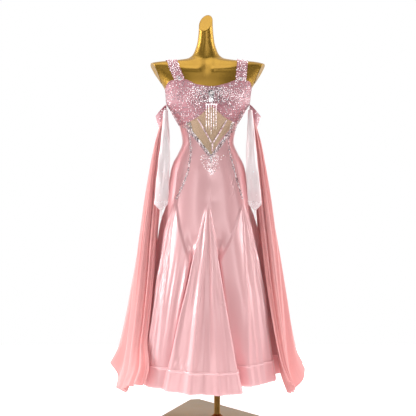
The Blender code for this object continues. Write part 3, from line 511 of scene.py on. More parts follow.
class Sum:
    """A value of a node tree that can be added, multiplied and compared in Python."""

    def __init__(self, tree, socket):
        self.tree = tree
        self.socket = socket

    def maths(self, operation, *others, clamp=False):
        node = self.tree.nodes.new("ShaderNodeMath")
        node.operation = operation
        node.use_clamp = clamp
        for slot, value in zip(node.inputs, (self, *others)):
            connect(self.tree, slot, value)
        return Sum(self.tree, node.outputs[0])

    def __add__(self, other):
        return self.maths("ADD", other)

    __radd__ = __add__

    def __mul__(self, other):
        return self.maths("MULTIPLY", other)

    __rmul__ = __mul__

    def __sub__(self, other):
        return self.maths("SUBTRACT", other)

    def __rsub__(self, other):
        return (self * -1.0) + other

    def __gt__(self, other):
        return self.maths("GREATER_THAN", other)

    def __lt__(self, other):
        return self.maths("LESS_THAN", other)

    def clamped(self):
        return self.maths("ADD", 0.0, clamp=True)

    def sine(self):
        return self.maths("SINE")

    def size(self):
        return self.maths("ABSOLUTE")


class Nodes:
    """A node tree under construction."""
    kinds = "ShaderNode"

    def __init__(self, tree):
        self.tree = tree

    def node(self, kind, settings=None, **sockets):
        """A node of a type. Its settings come first, then its sockets by name, or as in_0, in_1 and so on."""
        made = self.tree.nodes.new(self.kinds + kind)
        for name, value in (settings or {}).items():
            setattr(made, name, value)
        for name, value in sockets.items():
            place = int(name[3:]) if name.startswith("in_") else name.replace("_", " ")
            connect(self.tree, made.inputs[place], value)
        return made

    def out(self, node, name):
        return Sum(self.tree, node.outputs[name])


class Finish(Nodes):
    """A material under construction."""

    def __init__(self, name, colour, roughness, **constants):
        self.material = bpy.data.materials.new(name)
        self.material.use_nodes = True
        super().__init__(self.material.node_tree)
        self.shader = self.tree.nodes["Principled BSDF"]
        self.shader.inputs["Base Color"].default_value = (*colour, 1)
        self.shader.inputs["Roughness"].default_value = roughness
        for name_, value in constants.items():
            words = "IOR" if name_ == "ior" else name_.replace("_", " ").title()
            self.shader.inputs[words].default_value = value

    def place(self):
        return self.node("TexCoord").outputs["Object"]

    def uv(self):
        return self.node("UVMap", {"uv_map": "cloth"}).outputs["UV"]

    def noise(self, vector, scale, detail=2.0, roughness=0.5):
        made = self.node("TexNoise", Vector=vector, Scale=scale, Detail=detail, Roughness=roughness,
                         Distortion=0.0)
        return self.out(made, "Fac")

    def stretched(self, vector, x, y, z):
        """A vector scaled along its axes."""
        return self.node("Mapping", Vector=vector, Scale=(x, y, z)).outputs["Vector"]

    def colours(self, factor, first, second):
        """Mix of two colours, each a tuple or a socket."""
        first, second = ((*value, 1) if isinstance(value, tuple) else value for value in (first, second))
        return self.node("Mix", {"data_type": "RGBA"}, in_0=factor, in_6=first, in_7=second).outputs[2]

    def bump(self, height, distance, strength):
        return self.node("Bump", Height=height, Distance=distance, Strength=strength).outputs["Normal"]

    def set(self, name, value):
        connect(self.tree, self.shader.inputs[name], value)


# ---------------------------------------------------------------- sizes and colours that a user may change
def length(name, description, default):
    return bpy.props.FloatProperty(name=name, description=description, default=default, min=0.0,
                                   unit="LENGTH", precision=4)


def colour(name, description, default):
    return bpy.props.FloatVectorProperty(name=name, description=description, default=default, size=3, min=0.0,
                                         max=1.0, subtype="COLOR")


class DressSizes(bpy.types.PropertyGroup):
    """Sizes of the cloth and of its stones."""
    satin: length("Satin", "Thickness of the satin with its lining", 0.0015)
    mesh: length("Mesh", "Thickness of the mesh inset", 0.0010)
    chiffon: length("Chiffon", "Thickness of the floats", 0.0008)
    piping: length("Piping", "Diameter of the piping along the edges", 0.0026)
    stone: length("Stone", "Radius of a stone of the cups", 0.0026)
    spacing: length("Stone spacing", "Least distance between two stones of the cups", 0.0059)
    edge_stone: length("Edge stone", "Radius of a stone along the V and the seams", 0.0030)
    bead: length("Bead", "Radius of a bead on the strands", 0.0020)
    band_lift: length("Hem band", "How far the hem band lies over the skirt", 0.0022)


class DressColours(bpy.types.PropertyGroup):
    """Colours of the cloth, the stones and the stand."""
    satin: colour("Satin", "Satin of the skirt and the bodice", (0.86, 0.465, 0.48))
    # Deep satin: random deeper blotches on the satin and streaks on the chiffon, and painted shade along the
    # satin's seams and under the hem band's cord.
    satin_deep: colour("Deep satin", "Satin where the dye looks deeper", (0.70, 0.31, 0.34))
    pale: colour("Pale satin", "Satin of the sleeves", (0.98, 0.87, 0.88))
    chiffon: colour("Chiffon", "Chiffon of the floats", (0.93, 0.42, 0.41))
    nude: colour("Mesh", "Mesh inset at the midriff", (0.64, 0.43, 0.27))
    stones: colour("Stones", "Clear stones", (0.95, 0.90, 0.92))
    rose_stones: colour("Rose stones", "Tinted stones", (0.90, 0.60, 0.63))
    smoke_stones: colour("Smoke stones", "Stones that look dark", (0.38, 0.34, 0.37))
    gold: colour("Gold", "Lacquer of the dress form", (0.42, 0.24, 0.032))
    plate: colour("Plate", "Finish of the stand", (0.24, 0.13, 0.03))


class StageSettings(bpy.types.PropertyGroup):
    """Camera and floor."""
    distance: length("Distance", "From the camera to the middle of the dress", 3.6)
    height: length("Height", "Height of the camera", 1.031)
    tilt: bpy.props.FloatProperty(name="Tilt", description="How far the camera looks down",
                                  default=math.radians(3.5), subtype="ANGLE")
    lens: bpy.props.FloatProperty(name="Lens", description="Focal length in millimetres", default=80.9,
                                  unit="CAMERA")
    floor: colour("Floor", "Colour of the floor", (0.95, 0.95, 0.95))


def sizes():
    return bpy.context.scene.dress_sizes


def tone(name):
    """A colour that a user may change, as a tuple."""
    return tuple(getattr(bpy.context.scene.dress_colours, name))


# ---------------------------------------------------------------- finishes
WEAVE = 5200.0           # turns of the satin's weave in radians for each metre
SLUB = (900.0, 60.0, 1.0)
BLACK = (0.0, 0.0, 0.0)
WHITE = (1.0, 1.0, 1.0)
PALE_MESH = (0.72, 0.52, 0.36)
ROSE_GROUND = (0.70, 0.31, 0.35)
DEEP_ROSE_GROUND = (0.46, 0.17, 0.21)
ROSE_PAINTED_GLINT = (1.0, 0.93, 0.94)
SILVER = (0.62, 0.61, 0.63)
BRIGHT_SILVER = (0.88, 0.86, 0.87)
GREY_SILVER = (0.26, 0.25, 0.27)
SILVER_PAINTED_GLINT = (1.0, 0.97, 0.96)
DEEP_GOLD = (0.38, 0.21, 0.034)
RUBBED_GOLD = (0.36, 0.21, 0.055)
PEARL, PEARL_LIGHT, PEARL_ROSE = (0.93, 0.88, 0.84), (0.95, 0.90, 0.87), (0.90, 0.78, 0.77)
AMBER, AMBER_LIGHT, AMBER_DEEP = (0.80, 0.62, 0.45), (0.86, 0.78, 0.70), (0.66, 0.46, 0.30)


def once(make):
    """A finish is made the first time that it is asked for."""
    def found():
        name = make.__name__ + "_finish"
        return bpy.data.materials.get(name) or make(name)
    return found


def woven(finish, vector, threads, depth):
    """Bump of a plain weave on a vector in metres."""
    parts = finish.node("SeparateXYZ", Vector=vector)
    warp = (finish.out(parts, "X") * threads).sine()
    weft = (finish.out(parts, "Y") * threads).sine()
    return (warp * weft).size() * depth


@once
def satin(name):
    """Heavy satin: long soft gloss, slubs along the thread, grooved seams with painted shade along them."""
    made = Finish(name, tone("satin"), 0.30, metallic=0.12, ior=1.8, sheen_weight=0.55,
                  sheen_roughness=0.3)
    made.set("Specular IOR Level", 0.8)
    place, along = made.place(), made.uv()
    broad = made.noise(made.stretched(place, 1.0, 1.0, 0.45), 5.0, 3.0)
    seam = made.out(made.node("Attribute", {"attribute_name": "seam"}), "Fac")
    # Broad noise gives random deeper blotches. The seam value adds painted shade, darkening the colour along
    # each seam as in a crease.
    depth = ((broad - 0.45) * 0.9 + seam * 0.35).clamped()
    made.set("Base Color", made.colours(depth, tone("satin"), tone("satin_deep")))
    slub = made.noise(made.stretched(along, *SLUB), 1.0, 2.0)
    made.set("Roughness", slub * 0.10 + broad * 0.12 + 0.21)
    threads = woven(made, along, WEAVE, 0.4) + slub * 0.6 - seam * 1.5
    made.set("Normal", made.bump(threads, 0.00003, 0.5))
    return made.material


@once
def pale_satin(name):
    """Stretch satin of the sleeves."""
    made = Finish(name, tone("pale"), 0.30, sheen_weight=0.2, sheen_roughness=0.5)
    place, along = made.place(), made.uv()
    broad = made.noise(made.stretched(place, 1.0, 1.0, 0.3), 22.0, 3.0)
    depth = ((broad - 0.42) * 1.6).clamped()
    made.set("Base Color", made.colours(depth, tone("pale"), tone("satin")))
    slub = made.noise(made.stretched(along, *SLUB), 1.0, 2.0)
    made.set("Roughness", slub * 0.1 + 0.25)
    made.set("Normal", made.bump(woven(made, along, WEAVE, 0.5) + slub, 0.00004, 0.5))
    return made.material


@once
def chiffon(name):
    """Sheer crinkled chiffon, deeper in colour where it is doubled."""
    made = Finish(name, tone("chiffon"), 0.62, sheen_weight=0.35, sheen_roughness=0.5, alpha=0.85)
    along = made.uv()
    crinkle = made.noise(made.stretched(along, 240.0, 7.0, 1.0), 1.0, 4.0, 0.6)
    broad = made.noise(made.place(), 7.0, 2.0)
    deep = ((crinkle - 0.45) * 0.9 + (broad - 0.5) * 0.6).clamped()
    made.set("Base Color", made.colours(deep, tone("chiffon"), tone("satin_deep")))
    made.set("Roughness", crinkle * 0.2 + 0.5)
    made.set("Normal", made.bump(crinkle + woven(made, along, 7000.0, 0.2), 0.0009, 0.6))
    return made.material


@once
def nude_mesh(name):
    """Fine power mesh: a net of holes, with a faint sheen."""
    made = Finish(name, tone("nude"), 0.55, sheen_weight=0.3)
    along = made.uv()
    parts = made.node("SeparateXYZ", Vector=along)
    x, y = made.out(parts, "X"), made.out(parts, "Y")
    net = ((x + y) * 2900.0).sine().size() * ((x - y) * 2900.0).sine().size()
    broad = made.noise(made.place(), 12.0, 2.0)
    made.set("Base Color", made.colours((broad * 0.5 + net * 0.2).clamped(), tone("nude"), PALE_MESH))
    made.set("Alpha", 1.0 - (net > 0.72) * 0.35)
    made.set("Roughness", net * 0.15 + 0.45)
    made.set("Normal", made.bump(net, 0.0003, 0.5))
    return made.material


@once
def stone_cloth(name):
    """Stretch cloth under the stones: dusty rose with glued spots between them."""
    made = Finish(name, tone("satin_deep"), 0.38, sheen_weight=0.2)
    place = made.place()
    spots = made.out(made.node("TexVoronoi", Vector=place, Scale=420.0), "Distance")
    broad = made.noise(place, 16.0, 2.0)
    ground = made.colours((broad * 1.4 - 0.2).clamped(), ROSE_GROUND, DEEP_ROSE_GROUND)
    made.set("Base Color", made.colours(((spots < 0.26) * 0.4), ground, tone("stones")))
    made.set("Roughness", (spots * 0.5 + 0.14).clamped())
    made.set("Normal", made.bump(1.0 - spots, 0.0006, 0.7))
    return made.material


@once
def crystal(name):
    """Foil-backed cut stones: most are clear, some take the rose of the cloth, some look dark. Most of them
    glow faintly, a painted glint.
    """
    made = Finish(name, tone("stones"), 0.07, metallic=0.15)
    made.set("Specular IOR Level", 0.9)
    place = made.place()
    cell = made.node("TexVoronoi", Vector=place, Scale=230.0)
    chance = made.out(made.node("SeparateColor", Color=cell.outputs["Color"]), "Red")
    dull = made.out(made.node("Attribute", {"attribute_name": "dull"}), "Fac")
    # Stones marked dull are more often rose or dark, and fewer of them glow.
    weighed = chance + dull * 0.44
    rose = made.colours((weighed > 0.74), tone("stones"), tone("rose_stones"))
    made.set("Base Color", made.colours((weighed > 0.92), rose, tone("smoke_stones")))
    made.set("Roughness", chance * 0.12 + 0.04)
    # A pale rose emission on most stones: painted glints, since the stones are no lamps.
    made.set("Emission Color", made.colours((weighed < 0.62), BLACK, ROSE_PAINTED_GLINT))
    made.set("Emission Strength", 0.65)
    return made.material


@once
def silver_stones(name):
    """Silver stones of the edgings, some bright and some grey at random. About a third of them glow, a
    painted glint.
    """
    made = Finish(name, SILVER, 0.12, metallic=0.6)
    cell = made.node("TexVoronoi", Vector=made.place(), Scale=300.0)
    chance = made.out(made.node("SeparateColor", Color=cell.outputs["Color"]), "Green")
    made.set("Base Color", made.colours((chance > 0.52), BRIGHT_SILVER, GREY_SILVER))
    made.set("Roughness", chance * 0.16 + 0.05)
    made.set("Metallic", 0.3 + chance * 0.5)
    # Emission on about a third of the stones: painted glints, since the stones are no lamps.
    made.set("Emission Color", made.colours((chance < 0.36), BLACK, SILVER_PAINTED_GLINT))
    made.set("Emission Strength", 0.4)
    return made.material


@once
def gold_lacquer(name):
    """Satin gold lacquer on a smooth moulded form, with a faint mottle."""
    made = Finish(name, tone("gold"), 0.30, metallic=0.9, coat_weight=0.15, coat_roughness=0.22)
    place = made.place()
    mottle = made.noise(place, 14.0, 4.0)
    grain = made.noise(place, 900.0, 2.0)
    made.set("Base Color", made.colours((mottle * 1.2 - 0.3).clamped(), tone("gold"), DEEP_GOLD))
    made.set("Roughness", mottle * 0.14 + grain * 0.05 + 0.28)
    made.set("Normal", made.bump(grain + mottle * 4.0, 0.00006, 0.25))
    return made.material


@once
def gold_plate(name):
    """Brushed and lacquered steel of the stand, rubbed in patches."""
    made = Finish(name, tone("plate"), 0.34, metallic=0.9)
    place = made.place()
    brushed = made.noise(made.stretched(place, 12.0, 600.0, 600.0), 1.0, 3.0)
    worn = made.noise(place, 30.0, 5.0, 0.7)
    made.set("Base Color", made.colours((worn * 1.1 - 0.25).clamped(), tone("plate"), RUBBED_GOLD))
    made.set("Roughness", brushed * 0.16 + worn * 0.12 + 0.20)
    made.set("Normal", made.bump(brushed, 0.0002, 0.35))
    return made.material


@once
def pearl(name):
    """Cream pearl with a soft lustre."""
    made = Finish(name, PEARL, 0.22, coat_weight=0.6)
    cloud = made.noise(made.place(), 240.0, 2.0)
    made.set("Base Color", made.colours(cloud, PEARL_LIGHT, PEARL_ROSE))
    made.set("Roughness", cloud * 0.15 + 0.15)
    return made.material


@once
def amber(name):
    """Cut drops with a warm tint that varies in clouds."""
    made = Finish(name, AMBER, 0.06, metallic=0.3)
    cloud = made.noise(made.place(), 320.0, 2.0)
    made.set("Base Color", made.colours(cloud, AMBER_LIGHT, AMBER_DEEP))
    made.set("Roughness", cloud * 0.1 + 0.03)
    return made.material


# ---------------------------------------------------------------- geometry nodes: stones and beads
DENSEST = 120000.0       # stones for each square metre, where nothing keeps them apart
STONE_SIZES = (0.72, 1.12)
STONE_TABLE = 0.55       # radius of a stone's flat top, for a stone of radius 1
STONE_HEIGHT = 0.62


class Growth(Nodes):
    """A geometry node tree under construction."""
    kinds = ""

    def __init__(self, name, **inputs):
        super().__init__(bpy.data.node_groups.new(name, "GeometryNodeTree"))
        self.tree.is_modifier = True
        face = self.tree.interface
        face.new_socket("Geometry", in_out="INPUT", socket_type="NodeSocketGeometry")
        for label, (kind, default) in inputs.items():
            made = face.new_socket(label.replace("_", " "), in_out="INPUT", socket_type="NodeSocket" + kind)
            if default is not None:
                made.default_value = default
        face.new_socket("Geometry", in_out="OUTPUT", socket_type="NodeSocketGeometry")
        self.given = self.tree.nodes.new("NodeGroupInput").outputs
        self.end = self.tree.nodes.new("NodeGroupOutput")

    def named(self, name, kind="FLOAT"):
        made = self.node("GeometryNodeInputNamedAttribute", {"data_type": kind}, Name=name)
        return self.out(made, "Attribute")

    def close(self, instances, finish):
        """Ends the tree: real meshes with their material."""
        real = self.node("GeometryNodeRealizeInstances", Geometry=instances).outputs["Geometry"]
        done = self.node("GeometryNodeSetMaterial", Geometry=real, Material=finish).outputs["Geometry"]
        connect(self.tree, self.end.inputs["Geometry"], done)
        return self.tree


def gem(tree, sides):
    """A cut stone of radius 1: a crown with a flat table."""
    return tree.node("GeometryNodeMeshCone", {"fill_type": "NGON"}, Vertices=sides, Radius_Top=STONE_TABLE,
                     Radius_Bottom=1.0, Depth=STONE_HEIGHT).outputs["Mesh"]


def flat_shaded(tree, mesh):
    return tree.node("GeometryNodeSetShadeSmooth", Geometry=mesh, Shade_Smooth=False).outputs["Geometry"]


def once_grown(make):
    """A node tree is made the first time that it is asked for."""
    def found():
        return bpy.data.node_groups.get(make.__name__) or make(make.__name__)
    return found


@once_grown
def scattered_stones(name):
    """Stones scattered over a cloth, closer where its attribute "stones" is high."""
    tree = Growth(name, Radius=("Float", 0.0017), Spacing=("Float", 0.004), Seed=("Int", 1),
                  Finish=("Material", None))
    given = tree.given
    spread = tree.node("GeometryNodeDistributePointsOnFaces", {"distribute_method": "POISSON"},
                       Mesh=given["Geometry"], Distance_Min=given["Spacing"], Density_Max=DENSEST,
                       Density_Factor=tree.named("stones"), Seed=given["Seed"])
    low, high = STONE_SIZES
    size = tree.node("FunctionNodeRandomValue", {"data_type": "FLOAT"}, Seed=given["Seed"], in_2=low,
                     in_3=high)
    stones = tree.node("GeometryNodeInstanceOnPoints", Points=spread.outputs["Points"],
                       Instance=flat_shaded(tree, gem(tree, 6)), Rotation=spread.outputs["Rotation"],
                       Scale=Sum(tree.tree, size.outputs[1]) * given["Radius"])
    return tree.close(stones.outputs["Instances"], given["Finish"])


def on_points(name, shape):
    """A tree that puts one shape on each point, with its own size and facing."""
    tree = Growth(name, Size=("Float", 1.0), Finish=("Material", None))
    turn = tree.node("FunctionNodeAlignRotationToVector", {"axis": "Z"},
                     Vector=tree.named("facing", "FLOAT_VECTOR"))
    stones = tree.node("GeometryNodeInstanceOnPoints", Points=tree.given["Geometry"],
                       Instance=flat_shaded(tree, shape(tree)), Rotation=turn.outputs["Rotation"],
                       Scale=tree.named("radius") * tree.given["Size"])
    return tree.close(stones.outputs["Instances"], tree.given["Finish"])


@once_grown
def placed_stones(name):
    return on_points(name, lambda tree: gem(tree, 8))


@once_grown
def placed_beads(name):
    return on_points(name, lambda tree: tree.node(
        "GeometryNodeMeshUVSphere", Segments=8, Rings=5, Radius=1.0).outputs["Mesh"])


def grown(name, source, group, **values):
    """The mesh that a node tree makes from a source object, as an object of its own."""
    modifier = source.modifiers.new("growth", "NODES")
    modifier.node_group = group
    for item in group.interface.items_tree:
        if item.item_type == "SOCKET" and item.in_out == "INPUT" and item.name in values:
            modifier[item.identifier] = values[item.name]
    source.update_tag()
    mesh = as_mesh(name, source)
    source.modifiers.remove(modifier)
    if not mesh.polygons:
        raise RuntimeError(f"{name}: its tree made nothing")
    return in_scene(name, mesh)


def covered(name, over, radius, spacing, seed):
    """Stones scattered over a guide surface, which is then removed."""
    stones = grown(name, over, scattered_stones(), Radius=radius, Spacing=spacing, Seed=seed,
                   Finish=crystal())
    bpy.data.objects.remove(over)
    finished(stones, None, "stone_cloth")


def stones_at(name, points, radii, facings, finish, group=None):
    """Stones or beads at points, each with its radius and facing."""
    cloud = bpy.data.meshes.new(name + "_places")
    cloud.from_pydata([tuple(p) for p in points], [], [])
    layer = cloud.attributes.new("radius", "FLOAT", "POINT")
    layer.data.foreach_set("value", np.asarray(radii, np.float32))
    layer = cloud.attributes.new("facing", "FLOAT_VECTOR", "POINT")
    layer.data.foreach_set("vector", np.asarray(facings, np.float32).ravel())
    source = in_scene(name + "_places", cloud)
    made = grown(name, source, group or placed_stones(), Finish=finish)
    bpy.data.objects.remove(source)
    return made


# ---------------------------------------------------------------- satin
GODET_COLUMNS = 36
GORE_COLUMNS = 12
SKIRT_ROWS = 92
ROW_SPREAD = 1.15        # power by which the skirt's rows close up towards the hip
FRONT_COLUMNS = (22, 30, 30, 22)
FRONT_ROWS = 38
BACK_COLUMNS = 97
LOW_BACK_ROWS, HIGH_BACK_ROWS = 30, 12
SEAM_REACH = 0.3         # how near to a seam, in degrees, a column counts as on it


def round_columns(share):
    """Azimuths of the skirt's columns at a share of its length, and each one's distance from a seam."""
    azimuths, near = [], []
    for index in range(len(GODETS)):
        low, high = godet_edges(index, share)
        after = godet_edges((index + 1) % len(GODETS), share)[0]
        after = after if after > high else after + 360
        azimuths += np.linspace(low, high, GODET_COLUMNS, endpoint=False).tolist()
        near += [min(k, GODET_COLUMNS - k) for k in range(GODET_COLUMNS)]
        azimuths += np.linspace(high, after, GORE_COLUMNS, endpoint=False).tolist()
        near += [min(k, GORE_COLUMNS - k) for k in range(GORE_COLUMNS)]
    return azimuths, near


def stacked(*parts):
    """One set of points, faces, map, normals and seam values out of several."""
    total, faces = 0, []
    for part in parts:
        faces.append(part[1] + total)
        total += len(part[0])
    return (np.concatenate([p[0] for p in parts]), np.concatenate(faces),
            *(np.concatenate([p[k] for p in parts]) for k in (2, 3, 4)))


def surface(azimuths, heights, seam, ring=False):
    """Points, faces, map, normals and seam values of a grid on the dress."""
    return (flat_grid(dress_point(azimuths, heights)), grid_faces(*azimuths.shape, ring=ring),
            cloth_uv(azimuths, heights), flat_grid(outwards(azimuths, heights)), seam.ravel())


def skirt_surface():
    shares = np.linspace(1.0, 0.0, SKIRT_ROWS) ** ROW_SPREAD
    rows = [round_columns(share) for share in shares]
    azimuths = np.array([row[0] for row in rows])
    heights = np.broadcast_to(mix(GODET_TOP, HEM, shares)[:, None], azimuths.shape)
    seam = np.array([[1.0 if n == 0 else 0.0 for n in row[1]] for row in rows])
    return surface(azimuths, heights, seam * ease(shares / 0.02)[:, None], ring=True)


def back_surface(tops, azimuths, low, rows):
    """A grid of the back from a height up to an edge that is given for each azimuth, with the back seam."""
    heights = mix(low, tops[None, :], np.linspace(0.0, 1.0, rows)[:, None])
    across = np.broadcast_to(azimuths[None, :], heights.shape)
    return surface(across, heights, (np.abs(across - 180.0) < SEAM_REACH).astype(float))


def front_upper():
    """Sides and hip front, up to the cups and the V. Columns follow the front seams."""
    right, left = v_corner(-1), v_corner(1)
    ends = (-SIDE_SEAM, right, CENTRE, left, SIDE_SEAM)
    top = np.concatenate([np.linspace(a, b, n, endpoint=False)
                          for a, b, n in zip(ends, ends[1:], FRONT_COLUMNS)] + [[SIDE_SEAM]])
    in_v = (top > right + 1e-6) & (top < left - 1e-6)
    tops = np.where(in_v, v_edge(top), cup_edge(top))
    t = np.linspace(0.0, 1.0, FRONT_ROWS)[:, None]
    heights = mix(GODET_TOP, tops[None, :], t)
    seam_right, seam_left = front_seam(heights, -1), front_seam(heights, 1)
    share = top[None, :]
    inside = mix(seam_right, seam_left, (share - right) / (left - right))
    before = mix(-SIDE_SEAM, seam_right, (share + SIDE_SEAM) / (right + SIDE_SEAM))
    after = mix(seam_left, SIDE_SEAM, (share - left) / (SIDE_SEAM - left))
    azimuths = np.where(share < right, before, np.where(share > left, after, inside))
    seam = np.broadcast_to((np.abs(top - right) < 1e-6) | (np.abs(top - left) < 1e-6), heights.shape)
    return surface(azimuths, heights, seam.astype(float))


class MakeSatin(bpy.types.Operator):
    """Skirt, hips, sides and back, whose seams run from the godets up into the bodice"""
    bl_idname = "ballroom_dress.satin"
    bl_label = "Satin of the dress"

    def execute(self, context):
        back = np.linspace(SIDE_SEAM, 360 - SIDE_SEAM, BACK_COLUMNS)
        low_back = back_surface(np.full(back.shape, SIDE_TOP), back, GODET_TOP, LOW_BACK_ROWS)
        high_back = back_surface(top_edge(back), back, SIDE_TOP, HIGH_BACK_ROWS)
        points, faces, uv, normals, seam = stacked(skirt_surface(), front_upper(), low_back, high_back)
        made = shell("satin_dress", points, faces, sizes().satin, uv, normals)
        add_value(made, "seam", seam)
        gores = [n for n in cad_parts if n.startswith(("gore_", "godet_", "side_", "back_"))]
        finished(made, satin(), "satin", "front_panel", *gores)
        return {"FINISHED"}


# Section of the hem band: height over the hem, and how far it stands out as a share of its lift.
BAND_ROWS = ((0.000, 0.10), (0.004, 0.75), (0.012, 1.0), (0.030, 1.0), (0.050, 1.0), (0.066, 1.0),
             (0.0695, 1.1), (0.0715, 1.9), (0.0740, 2.3), (0.0765, 1.9), (0.0780, 0.6), (0.0784, 0.0))
BAND_CLEAR = 0.0006      # how far the band's edges stand off the skirt
BAND_WALL = 0.0005
BAND_CORD = 0.0695       # height over the hem where the cord is sewn in
BAND_PULL = 0.0005       # depth of the small pulls along the band, strongest at the front


class MakeHemBand(bpy.types.Operator):
    """Folded hem band with its corded upper edge and its small pulls"""
    bl_idname = "ballroom_dress.hem_band"
    bl_label = "Hem band"

    def execute(self, context):
        lifts, heights, azimuths = [], [], []
        for up, lift in BAND_ROWS:
            columns = np.array(round_columns(1 - up / (GODET_TOP - HEM))[0])
            a = np.radians(columns)
            wave = np.sin(34 * a + 2 * np.sin(7 * a))
            pull = BAND_PULL * wave * (0.3 + bell(turned(columns + 2), 9.0))
            azimuths.append(columns)
            heights.append(np.full(columns.shape, HEM + up))
            lifts.append(BAND_CLEAR + (sizes().band_lift - BAND_CLEAR) * lift + pull * min(lift, 1.0))
        azimuths, heights = np.array(azimuths), np.array(heights)
        points = lifted(azimuths, heights, np.array(lifts))
        faces = grid_faces(*azimuths.shape, ring=True)
        made = shell("hem_band_cloth", flat_grid(points), faces, BAND_WALL, cloth_uv(azimuths, heights))
        row = np.array([up for up, _ in BAND_ROWS])[:, None]
        # The foot of the cord takes a seam value. It gives a groove in the bump and painted shade under the
        # cord.
        add_value(made, "seam", np.broadcast_to(bell(row - BAND_CORD, 0.0012), azimuths.shape))
        finished(made, satin(), "satin", "hem_band")
        return {"FINISHED"}


# ---------------------------------------------------------------- bodice
CUP_COLUMNS, CUP_ROWS = 66, 30
# Where the stones of a cup are dense and bright, with more clear stones and more painted glints: share of the
# bust's azimuth, height, and reach both ways.
CUP_TOP = Values(at=0.8, height=1.238, across=26.0, up=0.034, least=0.55, more=0.6)
MESH_COLUMNS, MESH_ROWS = 40, 30
MESH_UNDER = 0.0004      # how far the mesh lies under the satin's surface
# A strip of the mesh: spacing along it, half width, lift, thickness, and its stones.
STRIP = Values(step=0.0031, half_width=0.0026, lift=0.0014, wall=0.0009, stone=0.00125, stones_aside=0.0014)


def cup_grid(side):
    """Azimuths and heights of a cup's points, from its lower edge up."""
    azimuths = np.linspace(side * SIDE_SEAM, CENTRE, CUP_COLUMNS)
    azimuths = azimuths if side < 0 else azimuths[::-1]
    t = np.linspace(0.0, 1.0, CUP_ROWS)[:, None]
    heights = mix(cup_edge(azimuths)[None, :], top_edge(azimuths)[None, :], t)
    return np.broadcast_to(azimuths[None, :], heights.shape), heights


def tube(name, points, radius, closed=False):
    """Piping along points."""
    curve = bpy.data.curves.new(name, "CURVE")
    curve.dimensions = "3D"
    curve.bevel_depth = radius
    curve.bevel_resolution = 2
    curve.use_fill_caps = True
    spline = curve.splines.new("POLY")
    spline.points.add(len(points) - 1)
    for place, point in zip(spline.points, points):
        place.co = (*point, 1)
    spline.use_cyclic_u = closed
    source = in_scene(name, curve)
    mesh = as_mesh(name, source)
    bpy.data.objects.remove(source)
    mesh.shade_smooth()
    return in_scene(name, mesh)


class MakeCups(bpy.types.Operator):
    """Cups: cloth, piping along their edges and the stones that cover them"""
    bl_idname = "ballroom_dress.cups"
    bl_label = "Cups"

    def execute(self, context):
        for index, (name, side) in enumerate(SIDES):
            azimuths, heights = cup_grid(side)
            made = panel(f"cup_cloth_{name}", azimuths, heights, sizes().satin)
            finished(made, stone_cloth(), "stone_cloth", f"cup_{name}")
            over = panel(f"cup_ground_{name}", azimuths, heights, 0.0002, 0.0001)
            across = turned(azimuths - CENTRE - side * BUST.azimuth * CUP_TOP.at)
            top = bell(across, CUP_TOP.across) * bell(heights - CUP_TOP.height, CUP_TOP.up)
            add_value(over, "stones", np.clip(CUP_TOP.least + CUP_TOP.more * top, 0.0, 1.0))
            # Away from the cup's top the stones are marked dull: more rose and dark stones, and fewer painted
            # glints.
            add_value(over, "dull", 1.0 - top)
            covered(f"cup_stones_{name}", over, sizes().stone, sizes().spacing, 11 + index)
            edge = [np.concatenate((grid[0], grid[-1][::-1])) for grid in (azimuths, heights)]
            piping = tube(f"cup_piping_{name}", lifted(*edge, 0.0004), sizes().piping / 2, closed=True)
            finished(piping, stone_cloth(), "stone_cloth")
        return {"FINISHED"}


class MakeMidriff(bpy.types.Operator):
    """Mesh inset of the midriff and the narrow stone-set strips on it"""
    bl_idname = "ballroom_dress.midriff"
    bl_label = "Midriff"
    # Strips of the mesh: name, x and height of the upper and of the lower end.
    strips = (("right", (-0.0375, 1.150), (0.0115, 1.064)), ("left", (0.0700, 1.146), (0.0215, 1.064)),
              ("centre", (0.0165, 1.060), (0.0160, 1.030)))

    def execute(self, context):
        right, left = v_corner(-1) + 0.2, v_corner(1) - 0.2
        azimuths = np.concatenate((np.linspace(right, CENTRE, MESH_COLUMNS, endpoint=False),
                                   np.linspace(CENTRE, left, MESH_COLUMNS + 1)))
        t = np.linspace(0.0, 1.0, MESH_ROWS)[:, None]
        low, high = v_edge(azimuths) - 0.001, cup_edge(azimuths) + 0.001
        heights = mix(low[None, :], high[None, :], t)
        azimuths = np.broadcast_to(azimuths[None, :], heights.shape)
        made = panel("mesh_inset", azimuths, heights, sizes().mesh, -MESH_UNDER)
        finished(made, nude_mesh(), "nude_mesh", "mesh_midriff")
        for name, top, low in self.strips:
            count = max(int(math.dist(top, low) / STRIP.step), 4)
            x, height = (np.linspace(top[k], low[k], count) for k in (0, 1))
            at = front_azimuth(x, height)
            middle, facing = lifted(at, height, STRIP.lift), outwards(at, height)
            aside = unit(np.cross(unit(np.gradient(middle, axis=0)), facing))
            half = aside * STRIP.half_width
            band = np.stack((middle + half, middle, middle - half))
            uv = even_uv(np.arange(count) * STRIP.step, np.arange(3) * STRIP.half_width)
            tape = shell(f"mesh_strip_tape_{name}", flat_grid(band), grid_faces(3, count), STRIP.wall, uv)
            finished(tape, stone_cloth(), "stone_cloth", f"mesh_strip_{name}")
            beside_it = aside * STRIP.stones_aside
            spots = np.concatenate((middle + beside_it, middle - beside_it))
            radii = np.full(len(spots), STRIP.stone)
            stones = stones_at(f"mesh_strip_stones_{name}", spots, radii,
                               np.concatenate((facing, facing)), crystal())
            finished(stones, None, "stone_cloth")
        return {"FINISHED"}


# ---------------------------------------------------------------- dress form and stand
NECK_SHIFT = -0.008      # how far the neck stands to the right of the form's middle
NECK_FROM, NECK_TO = 1.30, 1.39
